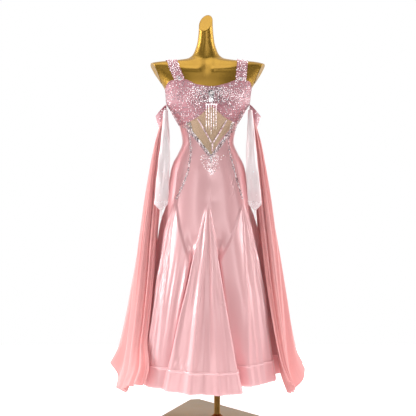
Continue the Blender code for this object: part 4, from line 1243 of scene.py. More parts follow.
# Planes of the cuts: a point on each, and how its outward direction leans.
ARM_CUT = Values(x=0.1665, height=1.254, slope=0.45, turn=0.28)
ARM_CUT_FROM = 1.10
NECK_CUT = Values(height=1.518, back=1.26, side=0.38, above=1.4)
CUT_RIM = ((0.0030, 0.0012), (0.0030, 0.0))
FORM_COLUMNS = 144
# Rows of the form: up to the shoulders, closer over them, and up the neck.
FORM_HEIGHTS = (1.32, 1.42, 1.56)
FORM_ROWS = (90, 56, 26)
# Collarbones in low relief, from the neck's middle line outwards.
COLLARBONE = Values(near=0.014, far=0.150, near_height=1.338, far_height=1.354, dip=0.004, width=0.0085,
                    lift=0.0040)
THROAT_DEPTH, CORD_LIFT = 0.0016, 0.0020
FRONT_BLEND = 0.02       # depth from the side line over which the relief grows


def neck_lean(height):
    return NECK_SHIFT * ease((height - NECK_FROM) / (NECK_TO - NECK_FROM))


def form_relief(x, y, height):
    """Collarbones, the hollow between them and the two cords of the neck, on the form's front."""
    off = np.abs(x - NECK_SHIFT)
    share = (off - COLLARBONE.near) / (COLLARBONE.far - COLLARBONE.near)
    line = mix(COLLARBONE.near_height, COLLARBONE.far_height, share)
    line = line - COLLARBONE.dip * np.sin(math.pi * np.clip(share, 0, 1)) ** 2
    bone = bell(height - line, COLLARBONE.width) * ease(share / 0.12) * (1 - ease((share - 0.6) / 0.4))
    throat = bell(off, 0.014) * bell(height - 1.340, 0.016)
    spread = 0.25 * np.clip(height - 1.370, 0, 1)
    cords = bell(off - 0.018 - spread, 0.012) * bell(height - 1.362, 0.034)
    raised = COLLARBONE.lift * bone - THROAT_DEPTH * throat + CORD_LIFT * cords
    return ease((-y) / FRONT_BLEND) * raised


def cut_flat(shape, point, normal, above):
    """Cuts off what lies beyond a plane and above a height, and closes the cut with a rounded rim."""
    reached = [v for v in shape.verts if v.co.z > above]
    reached += [e for e in shape.edges if min(v.co.z for v in e.verts) > above]
    reached += [f for f in shape.faces if min(v.co.z for v in f.verts) > above]
    cut = bmesh.ops.bisect_plane(shape, geom=reached, plane_co=point, plane_no=normal, dist=1e-6,
                                 clear_outer=True)["geom_cut"]
    edges = [e for e in cut if isinstance(e, bmesh.types.BMEdge)]
    middle = sum((v.co for e in edges for v in e.verts), Vector()) / (2 * len(edges))
    out = Vector(normal).normalized()
    for draw, rise in CUT_RIM:
        new = bmesh.ops.extrude_edge_only(shape, edges=edges)["geom"]
        edges = [e for e in new if isinstance(e, bmesh.types.BMEdge)]
        for v in {v for e in edges for v in e.verts}:
            v.co += (middle - v.co).normalized() * draw + out * rise
    bmesh.ops.contextual_create(shape, geom=edges)


class MakeDressForm(bpy.types.Operator):
    """Limbless dress form with flat cuts at the arms and the neck"""
    bl_idname = "ballroom_dress.dress_form"
    bl_label = "Dress form"

    def execute(self, context):
        shape = bmesh.new()
        starts = (TORSO[0, 0], *FORM_HEIGHTS)
        heights = np.concatenate([np.linspace(low, high, rows, endpoint=high == FORM_HEIGHTS[-1])
                                  for low, high, rows in zip(starts, FORM_HEIGHTS, FORM_ROWS)])
        azimuths = np.arange(FORM_COLUMNS) * 360 / FORM_COLUMNS
        a = np.radians(azimuths)[None, :]
        r = torso_radius(azimuths[None, :], heights[:, None]) - FORM_GAP
        x, y = r * np.sin(a), -r * np.cos(a)
        x = x + neck_lean(heights)[:, None]
        z = np.broadcast_to(heights[:, None], x.shape)
        relief = form_relief(x, y, z)
        points = np.stack((x + relief * np.sin(a), y - relief * np.cos(a), z), -1)
        rings = [[shape.verts.new(p) for p in row] for row in points.tolist()]
        for low, high in zip(rings, rings[1:]):
            for k in range(FORM_COLUMNS):
                n = (k + 1) % FORM_COLUMNS
                shape.faces.new((low[k], low[n], high[n], high[k]))
        shape.faces.new(list(reversed(rings[0])))
        shape.faces.new(rings[-1])
        for side in (-1, 1):
            cut_flat(shape, (side * ARM_CUT.x, 0, ARM_CUT.height),
                     (side, -ARM_CUT.turn, -ARM_CUT.slope), ARM_CUT_FROM)
        cut_flat(shape, (NECK_SHIFT, 0, NECK_CUT.height), (-NECK_CUT.side, -NECK_CUT.back, 1),
                 NECK_CUT.above)
        bmesh.ops.triangulate(shape, faces=[f for f in shape.faces if len(f.verts) > 4])
        bmesh.ops.recalc_face_normals(shape, faces=shape.faces)
        finished(hard_edged("form_shell", shape, 40), gold_lacquer(), "gold_lacquer", "dress_form")
        return {"FINISHED"}


POLE = Values(x=0.035, y=-0.060, radius=0.012, foot=0.025)
PLATE = Values(thickness=0.010, centre=(-0.009, -0.060), reach=0.290, length=0.435, half_angle=34.0,
               turn=10.0, chamfer=0.033, rounding=0.0016)
# Section of the pole from the plate up: how far past the pole's or the foot's radius, and height over the
# plate; then the groove of its joint and the ring of its clamp, with their heights over the floor.
FOOT_SECTION = ((-0.001, 0.0), (0.0, 0.001), (0.0, 0.004), (-0.0015, 0.0055))
COLLAR_SECTION = ((0.0045, 0.0105), (0.0020, 0.0125), (0.0, 0.016))
JOINT_SECTION = ((0.0, 0.400), (-0.0007, 0.401), (-0.0007, 0.403), (0.0, 0.404))
CLAMP_SECTION = ((0.0, 0.700), (0.0040, 0.701), (0.0045, 0.703), (0.0045, 0.717), (0.0040, 0.719),
                 (0.0, 0.720))


def turned_piece(name, profile, place, steps=48):
    """A piece turned on a lathe from (radius, height) pairs, closed at both ends."""
    a = np.arange(steps) * math.tau / steps
    rings = [[(place[0] + r * math.cos(t), place[1] + r * math.sin(t), z) for t in a] for r, z in profile]
    points = [p for ring in rings for p in ring]
    faces = grid_faces(len(profile), steps, ring=True).tolist()
    faces.append(list(range(steps))[::-1])
    faces.append([len(points) - steps + k for k in range(steps)])
    made = new_object(name, points, faces)
    made.data.set_sharp_from_angle(angle=math.radians(35))
    return made


class MakeStand(bpy.types.Operator):
    """Pole with its foot, clamp ring and top, and the base plate"""
    bl_idname = "ballroom_dress.stand"
    bl_label = "Stand"

    def execute(self, context):
        low, top, r = PLATE.thickness, TORSO[0, 0] - 0.0002, POLE.radius
        profile = [(POLE.foot + out, low + up) for out, up in FOOT_SECTION]
        profile += [(r + out, low + up) for out, up in COLLAR_SECTION]
        profile += [(r + out, up) for out, up in (*JOINT_SECTION, *CLAMP_SECTION)]
        profile += [(r, top - 0.001), (r - 0.001, top)]
        pole = turned_piece("pole_turned", profile, (POLE.x, POLE.y))
        finished(pole, gold_plate(), "gold_plate", "pole")
        turn, half = math.radians(PLATE.turn), math.radians(PLATE.half_angle)
        front, side = PLATE.reach - PLATE.length, PLATE.length * math.tan(half)
        corners = [Vector((0.0, PLATE.reach)), Vector((-side, front)), Vector((side, front))]
        outline = [here + (other - here).normalized() * PLATE.chamfer
                   for i, here in enumerate(corners) for other in (corners[i - 1], corners[(i + 1) % 3])]
        shape = bmesh.new()
        face = shape.faces.new([shape.verts.new((p.x, p.y, 0)) for p in outline])
        push = bmesh.ops.extrude_face_region(shape, geom=[face])["geom"]
        bmesh.ops.translate(shape, vec=(0, 0, PLATE.thickness),
                            verts=[v for v in push if isinstance(v, bmesh.types.BMVert)])
        bmesh.ops.rotate(shape, cent=(0, 0, 0), matrix=Matrix.Rotation(turn, 3, "Z"), verts=shape.verts)
        bmesh.ops.translate(shape, vec=(*PLATE.centre, 0), verts=shape.verts)
        bmesh.ops.bevel(shape, geom=shape.edges[:], offset=PLATE.rounding, segments=3, profile=0.5,
                        affect="EDGES")
        bmesh.ops.recalc_face_normals(shape, faces=shape.faces)
        finished(hard_edged("base_plate_steel", shape, 30), gold_plate(), "gold_plate", "base_plate")
        return {"FINISHED"}


# ---------------------------------------------------------------- straps
# x of the strap's middle where it leaves the cup, on the shoulder and where it joins the back.
STRAPS = (("right", -0.107, -0.142, -0.104), ("left", 0.124, 0.131, 0.106))
# Where the strap's middle is on the shoulder, as a share of its length, and its clearances over the form.
STRAP = Values(width=0.038, length=0.36, hub=1.290, crest=0.42, seat=0.0014, ease=0.0060, cloth=0.0015,
               front=-84.0, back=124.0, stones=0.9, piping=0.38)
# Large stones at a strap's front end: row, column, radius.
STRAP_STONES = ((1, 4, 0.0052), (1, 2, 0.0034), (1, 6, 0.0034), (2, 4, 0.0036), (3, 3, 0.0028),
                (3, 5, 0.0028))


def form_reach(x, across, up):
    """Distance from the hub line at x to the form's surface, along a direction in the y-z plane."""
    low, high = np.zeros(np.shape(x)), np.full(np.shape(x), 0.2)
    for _ in range(34):
        middle = (low + high) / 2
        y, z = across * middle, STRAP.hub + up * middle
        off = x - neck_lean(z)
        inside = np.hypot(off, y) < torso_radius(np.degrees(np.arctan2(off, -y)), z) - FORM_GAP
        low, high = np.where(inside, middle, low), np.where(inside, high, middle)
    return low


def strap_end(x, angle):
    """Angle from straight up at which the strap meets the bodice's upper edge, from a first guess."""
    angle = np.full(np.shape(x), angle)
    for _ in range(12):
        a = np.radians(angle)
        y = (form_reach(x, np.sin(a), np.cos(a)) + STRAP.ease + STRAP.cloth) * np.sin(a)
        edge = top_edge(np.degrees(np.arctan2(x, -y)))
        angle = np.degrees(np.arctan2(y, edge - STRAP.hub))
    return angle


def strap_surface(row, rows=60, columns=9):
    """Points of a strap's outer side, row by row from the front."""
    _, front_x, top_x, back_x = row
    t = np.linspace(0.0, 1.0, rows)
    middle = smooth(t, np.array(((0.0, front_x), (STRAP.crest, top_x), (1.0, back_x))), 1)
    offsets = np.linspace(-STRAP.width / 2, STRAP.width / 2, columns)
    front = strap_end(front_x + offsets, STRAP.front)
    back = strap_end(back_x + offsets, STRAP.back)
    a = np.radians(mix(front[None, :], back[None, :], t[:, None]))
    x = middle[:, None] + offsets[None, :]
    lift = mix(STRAP.ease, STRAP.seat, np.sin(math.pi * t))[:, None] + STRAP.cloth
    reach = form_reach(x, np.sin(a), np.cos(a)) + lift
    return np.stack((x, reach * np.sin(a), STRAP.hub + reach * np.cos(a)), -1)


class MakeStraps(bpy.types.Operator):
    """Shoulder straps covered in stones, with a large stone where each leaves its cup"""
    bl_idname = "ballroom_dress.straps"
    bl_label = "Straps"

    def execute(self, context):
        for index, row in enumerate(STRAPS):
            name = row[0]
            grid = strap_surface(row)
            faces = grid_faces(*grid.shape[:2])
            uv = even_uv(np.linspace(0, STRAP.width, grid.shape[1]),
                         np.linspace(0, STRAP.length, grid.shape[0]))
            normals = point_normals(flat_grid(grid), faces)
            if normals[len(normals) // 2][2] < 0:
                faces, normals = faces[:, ::-1], -normals
            made = shell(f"strap_cloth_{name}", flat_grid(grid), faces, sizes().satin, uv, normals)
            finished(made, stone_cloth(), "stone_cloth", f"strap_{name}")
            over = new_object(f"strap_ground_{name}", flat_grid(grid) + normals * 0.0001, faces)
            add_value(over, "stones", STRAP.stones)
            covered(f"strap_stones_{name}", over, sizes().stone, sizes().spacing, 21 + index)
            spots, facing = ([of[row, column] for row, column, _ in STRAP_STONES]
                             for of in (grid, normals.reshape(grid.shape)))
            big = stones_at(f"strap_ornament_{name}", spots, [radius for _, _, radius in STRAP_STONES],
                            facing, silver_stones())
            finished(big, None, "crystal")
            for k, tag in ((0, "inner"), (-1, "outer")):
                piping = tube(f"strap_piping_{tag}_{name}", grid[:, k], sizes().piping * STRAP.piping)
                finished(piping, stone_cloth(), "stone_cloth")
        return {"FINISHED"}


# ---------------------------------------------------------------- armbands, sleeves and floats
ARMBAND = Values(body_gap=0.0005, half_width=0.0215, taper=0.012, half_depth=0.045, top=(1.208, 1.161),
                 bottom=(1.188, 1.118), float_gap=0.0006, round=0.22, tall=0.045, wall=0.0011, inset=0.0004,
                 slack=0.0006, stones=0.45, stone=0.85, spacing=1.1, piping=0.36)
ARMBAND_COLUMNS, ARMBAND_ROWS = 96, 12
# Rings of a sleeve from its lower edge up: height, x and y of its middle, half width, half depth.
SLEEVE = np.array(((0.832, 0.1765, -0.0880, 0.0270, 0.0120), (0.880, 0.1720, -0.0860, 0.0265, 0.0130),
                   (0.960, 0.1670, -0.0820, 0.0235, 0.0140), (1.060, 0.1620, -0.0740, 0.0180, 0.0145),
                   (1.140, 0.1600, -0.0640, 0.0125, 0.0140), (1.186, 0.1600, -0.0468, 0.0090, 0.0130)))
SLEEVE_POINT = 0.026     # how far the sleeve's point hangs below its lowest ring
# Long soft folds of a sleeve: waves round it, waves along it, share of the side's phase, depth.
SLEEVE_FOLDS = ((3, 9, 1, 0.0017), (5, -15, 2, 0.0011))
ELBOW_DENT = 0.0026
LOOP = Values(half_width=0.004, half_height=0.013, wire=0.0012, behind=0.0008, steps=28)
# Hem of a float: share of its width from the front edge, azimuth, radius, height.
FLOAT_HEM = np.array((
    (0.00, 54, 0.322, 0.180), (0.14, 60, 0.332, 0.168), (0.28, 66, 0.352, 0.142), (0.40, 73, 0.325, 0.114),
    (0.50, 80, 0.346, 0.118), (0.60, 90, 0.374, 0.207), (0.72, 100, 0.336, 0.166), (0.84, 111, 0.352, 0.124),
    (1.00, 128, 0.322, 0.172),
))
# How far a float has spread outwards: share of its length from the top, distance.
FLOAT_OUTLINE = np.array(((0.00, 0.000), (0.13, 0.026), (0.31, 0.053), (0.50, 0.085), (0.68, 0.113),
                          (0.84, 0.138), (0.93, 0.156), (1.00, 0.184)))
FLOAT_TURN = 144.0       # degrees from a float's middle to its edge, round the armband
FLOAT_BUNDLE = 0.30      # share of its length over which a float hangs as one gathered bundle
FLOAT_WIDEN = 0.045      # how much wider the bundle would be at the hem
FLOAT_DRIFT = 0.012      # how far it drifts to the back
FLOAT_FOLDS = 4.5        # deep folds over its width
FLOAT_FOLD_DEPTH = 0.007
FLOAT_COLUMNS, FLOAT_ROWS = 230, 96
# The front edges hang unlike: degrees that each is turned, and how far the left one stands out.
RIGHT_EDGE_TURN, LEFT_EDGE_TURN, LEFT_EDGE_OUT = -9.0, 4.0, 0.022
# Finer folds of a float: cycles over its width, phase, depth in mm where it is gathered and at its hem.
FLOAT_PLEATS = ((9.0, 0.4, 2.4, 6.0), (14.0, 2.1, 2.2, 3.6), (23.0, 4.0, 1.6, 1.8), (31.0, 1.0, 1.0, 0.8))


def armband_ring(side, angle, up):
    """Middle, half width, half depth and height of the armband at an angle from its outer side."""
    inner_x = abs(float(plain_point(side * 90.0, ARMBAND.top[0])[0])) + ARMBAND.body_gap
    outer_x = inner_x + 2 * ARMBAND.half_width - ARMBAND.taper * (1 - up)
    k = (1 + np.cos(np.radians(angle))) / 2
    low, high = mix(*ARMBAND.bottom, k), mix(*ARMBAND.top, k)
    return (inner_x + outer_x) / 2, (outer_x - inner_x) / 2, ARMBAND.half_depth, mix(low, high, up)


def ring_point(side, angle, middle, y, half_width, half_depth, z):
    a = np.radians(angle)
    parts = np.broadcast_arrays(side * (middle + half_width * np.cos(a)), y + half_depth * np.sin(a), z)
    return np.stack(parts, -1)


def ring_faces(grid):
    """Faces between rings of points, turned away from the rings' middles."""
    faces = grid_faces(*grid.shape[:2], ring=True)
    normals = point_normals(flat_grid(grid), faces).reshape(grid.shape)
    return faces if (normals * (grid - grid.mean(1)[:, None, :])).sum() > 0 else faces[:, ::-1]


class MakeArmbands(bpy.types.Operator):
    """Off-shoulder armbands with their stones and piping"""
    bl_idname = "ballroom_dress.armbands"
    bl_label = "Armbands"

    def execute(self, context):
        angles = np.arange(ARMBAND_COLUMNS) * 360 / ARMBAND_COLUMNS
        for index, (name, side) in enumerate(SIDES):
            rows = []
            for up in np.linspace(0.0, 1.0, ARMBAND_ROWS):
                middle, half, depth, z = armband_ring(side, angles, up)
                soft = ARMBAND.slack * np.sin(np.radians(angles) * 5 + up * 3) - ARMBAND.inset
                rows.append(ring_point(side, angles, middle, 0.0, half + soft, depth + soft, z))
            grid = np.array(rows)
            uv = even_uv(angles / 360 * ARMBAND.round, np.linspace(0, ARMBAND.tall, ARMBAND_ROWS))
            faces = ring_faces(grid)
            made = shell(f"armband_cloth_{name}", flat_grid(grid), faces, ARMBAND.wall, uv)
            finished(made, stone_cloth(), "stone_cloth", f"armband_{name}")
            over = new_object(f"armband_ground_{name}", flat_grid(grid), faces)
            add_value(over, "stones", ARMBAND.stones)
            covered(f"armband_stones_{name}", over, sizes().stone * ARMBAND.stone,
                    sizes().spacing * ARMBAND.spacing, 31 + index)
            for k, tag in ((0, "lower"), (-1, "upper")):
                piping = tube(f"armband_piping_{tag}_{name}", grid[k], sizes().piping * ARMBAND.piping,
                              closed=True)
                finished(piping, stone_cloth(), "stone_cloth")
        return {"FINISHED"}


def sleeve_grid(side, rows=80, columns=72):
    """Rings of a sleeve from its pointed lower edge up, with its long soft folds."""
    angles = np.arange(columns) * 360 / columns
    a = np.radians(angles)[None, :]
    t = np.linspace(0.0, 1.0, rows)[:, None]
    heights = mix(SLEEVE[0, 0], SLEEVE[-1, 0], t)
    x, y, half, depth = (smooth(heights, SLEEVE, k) for k in range(1, 5))
    slack = np.sin(math.pi * np.clip(t * 1.05, 0, 1))
    fold = -ELBOW_DENT * bell(np.sin(a) + 0.9, 0.35) * bell(np.cos(a) - 0.25 + 0.5 * t, 0.22)
    for around, along, phase, deep in SLEEVE_FOLDS:
        fold = fold + deep * np.sin(around * a + along * t + phase * side)
    fold = fold * slack - 0.0010
    drop = SLEEVE_POINT * (1 - np.abs(np.cos(a))) * (1 - t) ** 8
    grid = ring_point(side, angles[None, :], x, y, half + fold, depth + fold, heights - drop)
    return grid, even_uv(angles / 360 * 0.13, heights[:, 0])


# Lone stones on the front of a sleeve: x from the sleeve's side of the dress, height, radius.
SLEEVE_STONES = ((0.150, 1.010, 0.0016), (0.171, 0.954, 0.0017), (0.1795, 0.913, 0.0017),
                 (0.180, 0.868, 0.0017), (0.161, 0.980, 0.0010), (0.158, 0.930, 0.0010),
                 (0.168, 0.890, 0.0011))
# Stones round the wrist: below which height, how far apart, what share of places, and their radii.
WRIST_STONES = Values(below=0.842, apart=0.0036, share=0.75, radii=(0.0009, 0.0015))


class MakeSleeves(bpy.types.Operator):
    """Loose sleeves that end in a stone-set point, with their finger loops"""
    bl_idname = "ballroom_dress.sleeves"
    bl_label = "Sleeves"

    def execute(self, context):
        for name, side in SIDES:
            grid, uv = sleeve_grid(side)
            points, faces = flat_grid(grid), ring_faces(grid)
            made = shell(f"sleeve_cloth_{name}", points, faces, 0.0009, uv)
            finished(made, pale_satin(), "pale_satin", f"sleeve_{name}")
            normals = point_normals(points, faces)
            hidden = np.where(normals[:, 1] < -0.35, 0.0, 1.0)
            chosen, radii = [], []
            for x, height, radius in SLEEVE_STONES:
                gap = np.hypot(points[:, 0] - side * x, points[:, 2] - height) + hidden
                chosen.append(int(gap.argmin()))
                radii.append(radius)
            dice = np.random.default_rng(5)
            for k in dice.permutation(np.flatnonzero(points[:, 2] < WRIST_STONES.below)):
                apart = np.linalg.norm(points[chosen] - points[k], axis=1).min() > WRIST_STONES.apart
                if dice.random() < WRIST_STONES.share and apart:
                    chosen.append(k)
                    radii.append(dice.uniform(*WRIST_STONES.radii))
            stones = stones_at(f"sleeve_stones_{name}", points[chosen], radii, normals[chosen], crystal())
            finished(stones, None, "pale_satin")
            piping = tube(f"sleeve_piping_{name}", grid[0], 0.0008, closed=True)
            finished(piping, pale_satin(), "pale_satin")
            x, y, _, depth = SLEEVE[0, 1:]
            turn = np.arange(LOOP.steps) * math.tau / LOOP.steps
            top = SLEEVE[0, 0] - SLEEVE_POINT - 0.0003 - LOOP.wire
            loop = np.stack(np.broadcast_arrays(
                side * x + LOOP.half_width * np.sin(turn), y - depth + LOOP.behind,
                top - LOOP.half_height * (1 - np.cos(turn))), -1)
            cord = tube(f"finger_loop_cord_{name}", loop, LOOP.wire, closed=True)
            finished(cord, pale_satin(), "pale_satin", f"finger_loop_{name}")
        return {"FINISHED"}


def bundle_point(side, share, down, z, inwards):
    """A point of the gathered upper part of a float: a ring, open towards the body."""
    angle = mix(-FLOAT_TURN, FLOAT_TURN, share)
    middle, half, depth, _ = armband_ring(side, angle, 0.0)
    outer = middle + half + smooth(down, FLOAT_OUTLINE, 1) - inwards
    half = half + FLOAT_WIDEN * down - inwards
    depth = depth + FLOAT_WIDEN * down - inwards
    return ring_point(side, angle, outer - half, FLOAT_DRIFT * ease(down / FLOAT_BUNDLE), half, depth, z)


def float_pleats(side, share, down):
    """Finer folds of a float, in metres."""
    warp = share + 0.018 * np.sin(5.0 * share + 3.0 * down + side) + 0.010 * down * np.sin(17 * share)
    moved = np.zeros(np.broadcast(share, down).shape)
    for cycles, phase, gathered, hanging in FLOAT_PLEATS:
        depth = mix(gathered, hanging, ease((down - 0.1) / 0.8)) / 1000
        moved = moved + depth * np.sin(math.tau * cycles * warp + phase + 0.8 * side)
    ripple = 0.0030 * np.sin(math.tau * 15 * warp + 2.0 * np.sin(7 * share)) * ease((down - 0.90) / 0.10)
    return moved * ease(down / 0.06) + ripple


def float_point(side, share, down):
    """A point of a float: share runs over its width from the front edge, down from its top to its hem."""
    turn = mix(-1, 1, share) * FLOAT_TURN
    z_top = armband_ring(side, turn, 0.0)[3] - ARMBAND.float_gap
    azimuth, radius, z_hem = (smooth(share, FLOAT_HEM, k) for k in (1, 2, 3))
    front = ease(1 - share / 0.34)
    if side < 0:
        azimuth = azimuth + front * RIGHT_EDGE_TURN * ease((down - 0.84) / 0.12)
    else:
        azimuth = azimuth + front * LEFT_EDGE_TURN
        radius = radius + front * LEFT_EDGE_OUT
    wave = 0.0035 * np.sin(math.tau * 11 * share + side) * down ** 12
    z = mix(z_top, z_hem, down) + wave
    radius = radius + smooth(down, FLOAT_OUTLINE, 1) - FLOAT_OUTLINE[-1, 1]
    deep = np.sin(math.tau * FLOAT_FOLDS * share) * ease(down / FLOAT_BUNDLE) * (1 - down ** 6)
    fold = FLOAT_FOLD_DEPTH * deep + float_pleats(side, share, down)
    a = np.radians(azimuth)
    hanging = np.stack((side * (radius + fold) * np.sin(a), -(radius + fold) * np.cos(a), z), -1)
    bundle = bundle_point(side, share, down, z, -fold)
    spread = np.maximum((down - FLOAT_BUNDLE) / (1 - FLOAT_BUNDLE), 0.0)
    return mix(bundle, hanging, mix(ease(spread), spread, 0.6)[..., None])


class MakeFloats(bpy.types.Operator):
    """Chiffon floats that hang from the armbands, with rolled hems"""
    bl_idname = "ballroom_dress.floats"
    bl_label = "Floats"

    def execute(self, context):
        share, down = np.meshgrid(np.linspace(0.0, 1.0, FLOAT_COLUMNS), np.linspace(1.0, 0.0, FLOAT_ROWS))
        for name, side in SIDES:
            grid = float_point(side, share, down)
            faces = grid_faces(*share.shape)
            if side < 0:
                faces = faces[:, ::-1]
            uv = np.stack((share * 1.10, (1 - down) * 1.02), -1).reshape(-1, 2)
            made = shell(f"float_cloth_{name}", flat_grid(grid), faces, sizes().chiffon, uv)
            finished(made, chiffon(), "chiffon", f"float_{name}")
            rolled = tube(f"float_hem_{name}", np.concatenate((grid[::-1, 0], grid[0], grid[:, -1])), 0.0009)
            finished(rolled, chiffon(), "chiffon")
        return {"FINISHED"}


# ---------------------------------------------------------------- stones along the seams, brooch and strands
def along_path(azimuths, heights, step):
    """Places at even steps along a line on the dress, as azimuths and heights."""
    points = plain_point(azimuths, heights)
    run = np.concatenate(([0.0], np.cumsum(np.linalg.norm(np.diff(points, axis=0), axis=1))))
    at = np.arange(step / 2, run[-1], step)
    return np.interp(at, run, azimuths), np.interp(at, run, heights)


def beside(azimuths, heights, offset):
    """Places moved sideways from a line on the front, as x and height."""
    points = plain_point(azimuths, heights)
    x, z = points[:, 0], points[:, 2]
    dx, dz = np.gradient(x), np.gradient(z)
    size = np.maximum(np.hypot(dx, dz), 1e-9)
    return x - offset * dz / size, z + offset * dx / size


class StoneList:
    """Stones on the front of the dress, kept apart from each other."""

    def __init__(self):
        self.x, self.z, self.radius = [], [], []

    def free(self, x, z, radius):
        near = np.hypot(np.array(self.x) - x, np.array(self.z) - z) - np.array(self.radius) - radius
        return not len(near) or near.min() > -0.0002

    def add(self, xs, zs, radii, always=False):
        for x, z, radius in zip(*np.broadcast_arrays(*np.atleast_1d(xs, zs, radii))):
            if always or self.free(x, z, radius):
                self.x.append(float(x))
                self.z.append(float(z))
                self.radius.append(float(radius))

    def make(self, name, finish, *nodes, lift=0.0002, group=None):
        """Makes the stones one piece, which may stand for nodes."""
        heights = np.array(self.z)
        azimuths = front_azimuth(np.array(self.x), heights)
        made = stones_at(name, lifted(azimuths, heights, lift), self.radius, outwards(azimuths, heights),
                         finish, group)
        finished(made, None, "crystal", *nodes)


# Smaller rows outside the V's edge: distance from it, size as a share of an edge stone.
V_ROWS = ((-0.0050, 0.66), (-0.0088, 0.50))
V_SPACING, ROW_SPACING = 2.02, 2.415     # in radii
# Stones that run down from the V's point: height, radius.
POINT_STONES = ((1.0045, 0.0042), (0.9960, 0.0034), (0.9890, 0.0026))
# Row down a front seam, whose every third stone is larger.
SEAM_ROW = Values(low=0.850, high=1.126, step=0.0049, wander=0.0011, turns=1.7, large=0.92, small=0.72)
# Leaves of loose stones along the lower edge of each cup's seam, below the V's corner.
LEAVES = Values(tries=900, down=(0.002, 0.088), least=0.003, wide=0.026, narrow=0.010, lengths=(0.020, 0.022),
                gap=-0.25, radii=(0.0014, 0.0019, 0.0024))
HIP_STONES = Values(tries=2600, most=190, top=1.016, fall=0.074, wide=0.030, narrow=0.004, spread=0.7,
                    below=0.010, slope=1.35, radii=(0.0011, 0.0015, 0.0019))
# Pearls under them: height, radius.
HIP_PEARLS = ((0.9810, 0.0030), (0.9738, 0.0026), (0.9670, 0.0023), (0.9606, 0.0020), (0.9546, 0.0017))


# Ornament at the neckline: a round centre with rays of beads, and a round cluster under it.
ROSETTE = Values(height=1.2455, radius=0.0060, rays=12)
# Beads of a ray: distance from the centre, radius.
RAY_BEADS = ((0.0100, 0.0024), (0.0145, 0.0020), (0.0185, 0.0016))
CLUSTER = Values(height=1.2220, radius=0.0045, ring=0.0076, beads=8, bead=0.0024)
# Half width of the setting under them, by height.
SETTING = ((1.2105, 0.003), (1.2150, 0.008), (1.2220, 0.0100), (1.2310, 0.0066), (1.2380, 0.0092),
           (1.2455, 0.0112), (1.2530, 0.0088), (1.2575, 0.003))
SETTING_ROWS, SETTING_COLUMNS = 24, 9
SURROUND = Values(tries=700, spread=0.024, low=1.214, high=1.268, off_rosette=0.022, off_cluster=0.0125,
                  radii=(0.0016, 0.0020, 0.0025))
STRANDS = Values(spacing=0.009, top=1.2060, low=1.2020, half_length=0.0205, end=1.108, middle_end=1.090,
                 drop_height=0.016, step=1.9)
# Section of a drop: radius, height over its tip.
DROP = ((0.0002, 0.0), (0.0019, 0.0035), (0.0026, 0.0065), (0.0022, 0.0100), (0.0010, 0.0140),
        (0.0004, 0.0155))


def circle(count):
    """Turns of evenly spread places round a circle."""
    return [math.tau * k / count for k in range(count)]


class MakeTrims(bpy.types.Operator):
    """Stone edging of the V, rows down the front seams and the stones scattered beside them"""
    bl_idname = "ballroom_dress.trims"
    bl_label = "Stone trims"

    def execute(self, context):
        edge, radius = StoneList(), sizes().edge_stone
        azimuths = np.linspace(v_corner(-1), v_corner(1), 120)
        heights = np.where(np.abs(azimuths - CENTRE) < 50, v_edge(azimuths), V_TOP)
        edge.add(*beside(*along_path(azimuths, heights, V_SPACING * radius), 0.0), radius, always=True)
        for offset, share in V_ROWS:
            line = along_path(azimuths, heights, ROW_SPACING * share * radius)
            edge.add(*beside(*line, offset), radius * share)
        edge.add(CENTRE_X, *zip(*POINT_STONES), always=True)
        edge.make("v_edging", silver_stones(), "trim_v")
        dice = np.random.default_rng(3)
        for name, side in SIDES:
            row = StoneList()
            heights = np.linspace(SEAM_ROW.low, SEAM_ROW.high, 90)
            seam = front_seam(heights, side)
            x, z = beside(*along_path(seam, heights, SEAM_ROW.step), 0.0)
            k = np.arange(len(x))
            radii = np.where(k % 3 == 0, SEAM_ROW.large, SEAM_ROW.small) * radius
            row.add(x + SEAM_ROW.wander * np.sin(k * SEAM_ROW.turns), z, radii, always=True)
            spare = along_path(seam, heights, 0.0034)
            for offset in (-0.0042, 0.0042):
                x, z = beside(*spare, offset)
                keep = dice.random(len(x)) < 0.45
                row.add(x[keep], z[keep], 0.45 * radius)
            corner = plain_point(v_corner(side), V_TOP)
            for _ in range(LEAVES.tries):
                down = dice.uniform(*LEAVES.down)
                reach = mix(LEAVES.wide, LEAVES.narrow, down / LEAVES.down[1])
                across = dice.uniform(LEAVES.least, reach)
                turns = down / LEAVES.lengths[0] + across / LEAVES.lengths[1]
                if math.sin(math.tau * turns) > LEAVES.gap:
                    row.add(corner[0] - side * (down * 0.62 - across * 0.72),
                            corner[2] - down * 0.80 - across * 0.45, dice.choice(LEAVES.radii))
            row.make(f"seam_stones_{name}", silver_stones(), f"trim_seam_{name}")
        return {"FINISHED"}


class MakeScatter(bpy.types.Operator):
    """Stones that fade out over the hip front below the V, with a row of pearls"""
    bl_idname = "ballroom_dress.scatter"
    bl_label = "Scattered stones"

    def execute(self, context):
        dice = np.random.default_rng(8)
        loose = StoneList()
        for _ in range(HIP_STONES.tries):
            down = dice.random() ** 1.2
            half = mix(HIP_STONES.wide, HIP_STONES.narrow, down)
            x = dice.normal(CENTRE_X, half * HIP_STONES.spread)
            z = HIP_STONES.top - HIP_STONES.fall * down
            edge = V_POINT - HIP_STONES.below + abs(x - CENTRE_X) * HIP_STONES.slope
            if z < edge and len(loose.x) < HIP_STONES.most:
                loose.add(x, z, dice.choice(HIP_STONES.radii))
        loose.make("hip_stones", crystal())
        pearls = StoneList()
        pearls.add(CENTRE_X, *zip(*HIP_PEARLS))
        pearls.make("hip_pearls", pearl(), lift=0.0012, group=placed_beads())
        return {"FINISHED"}


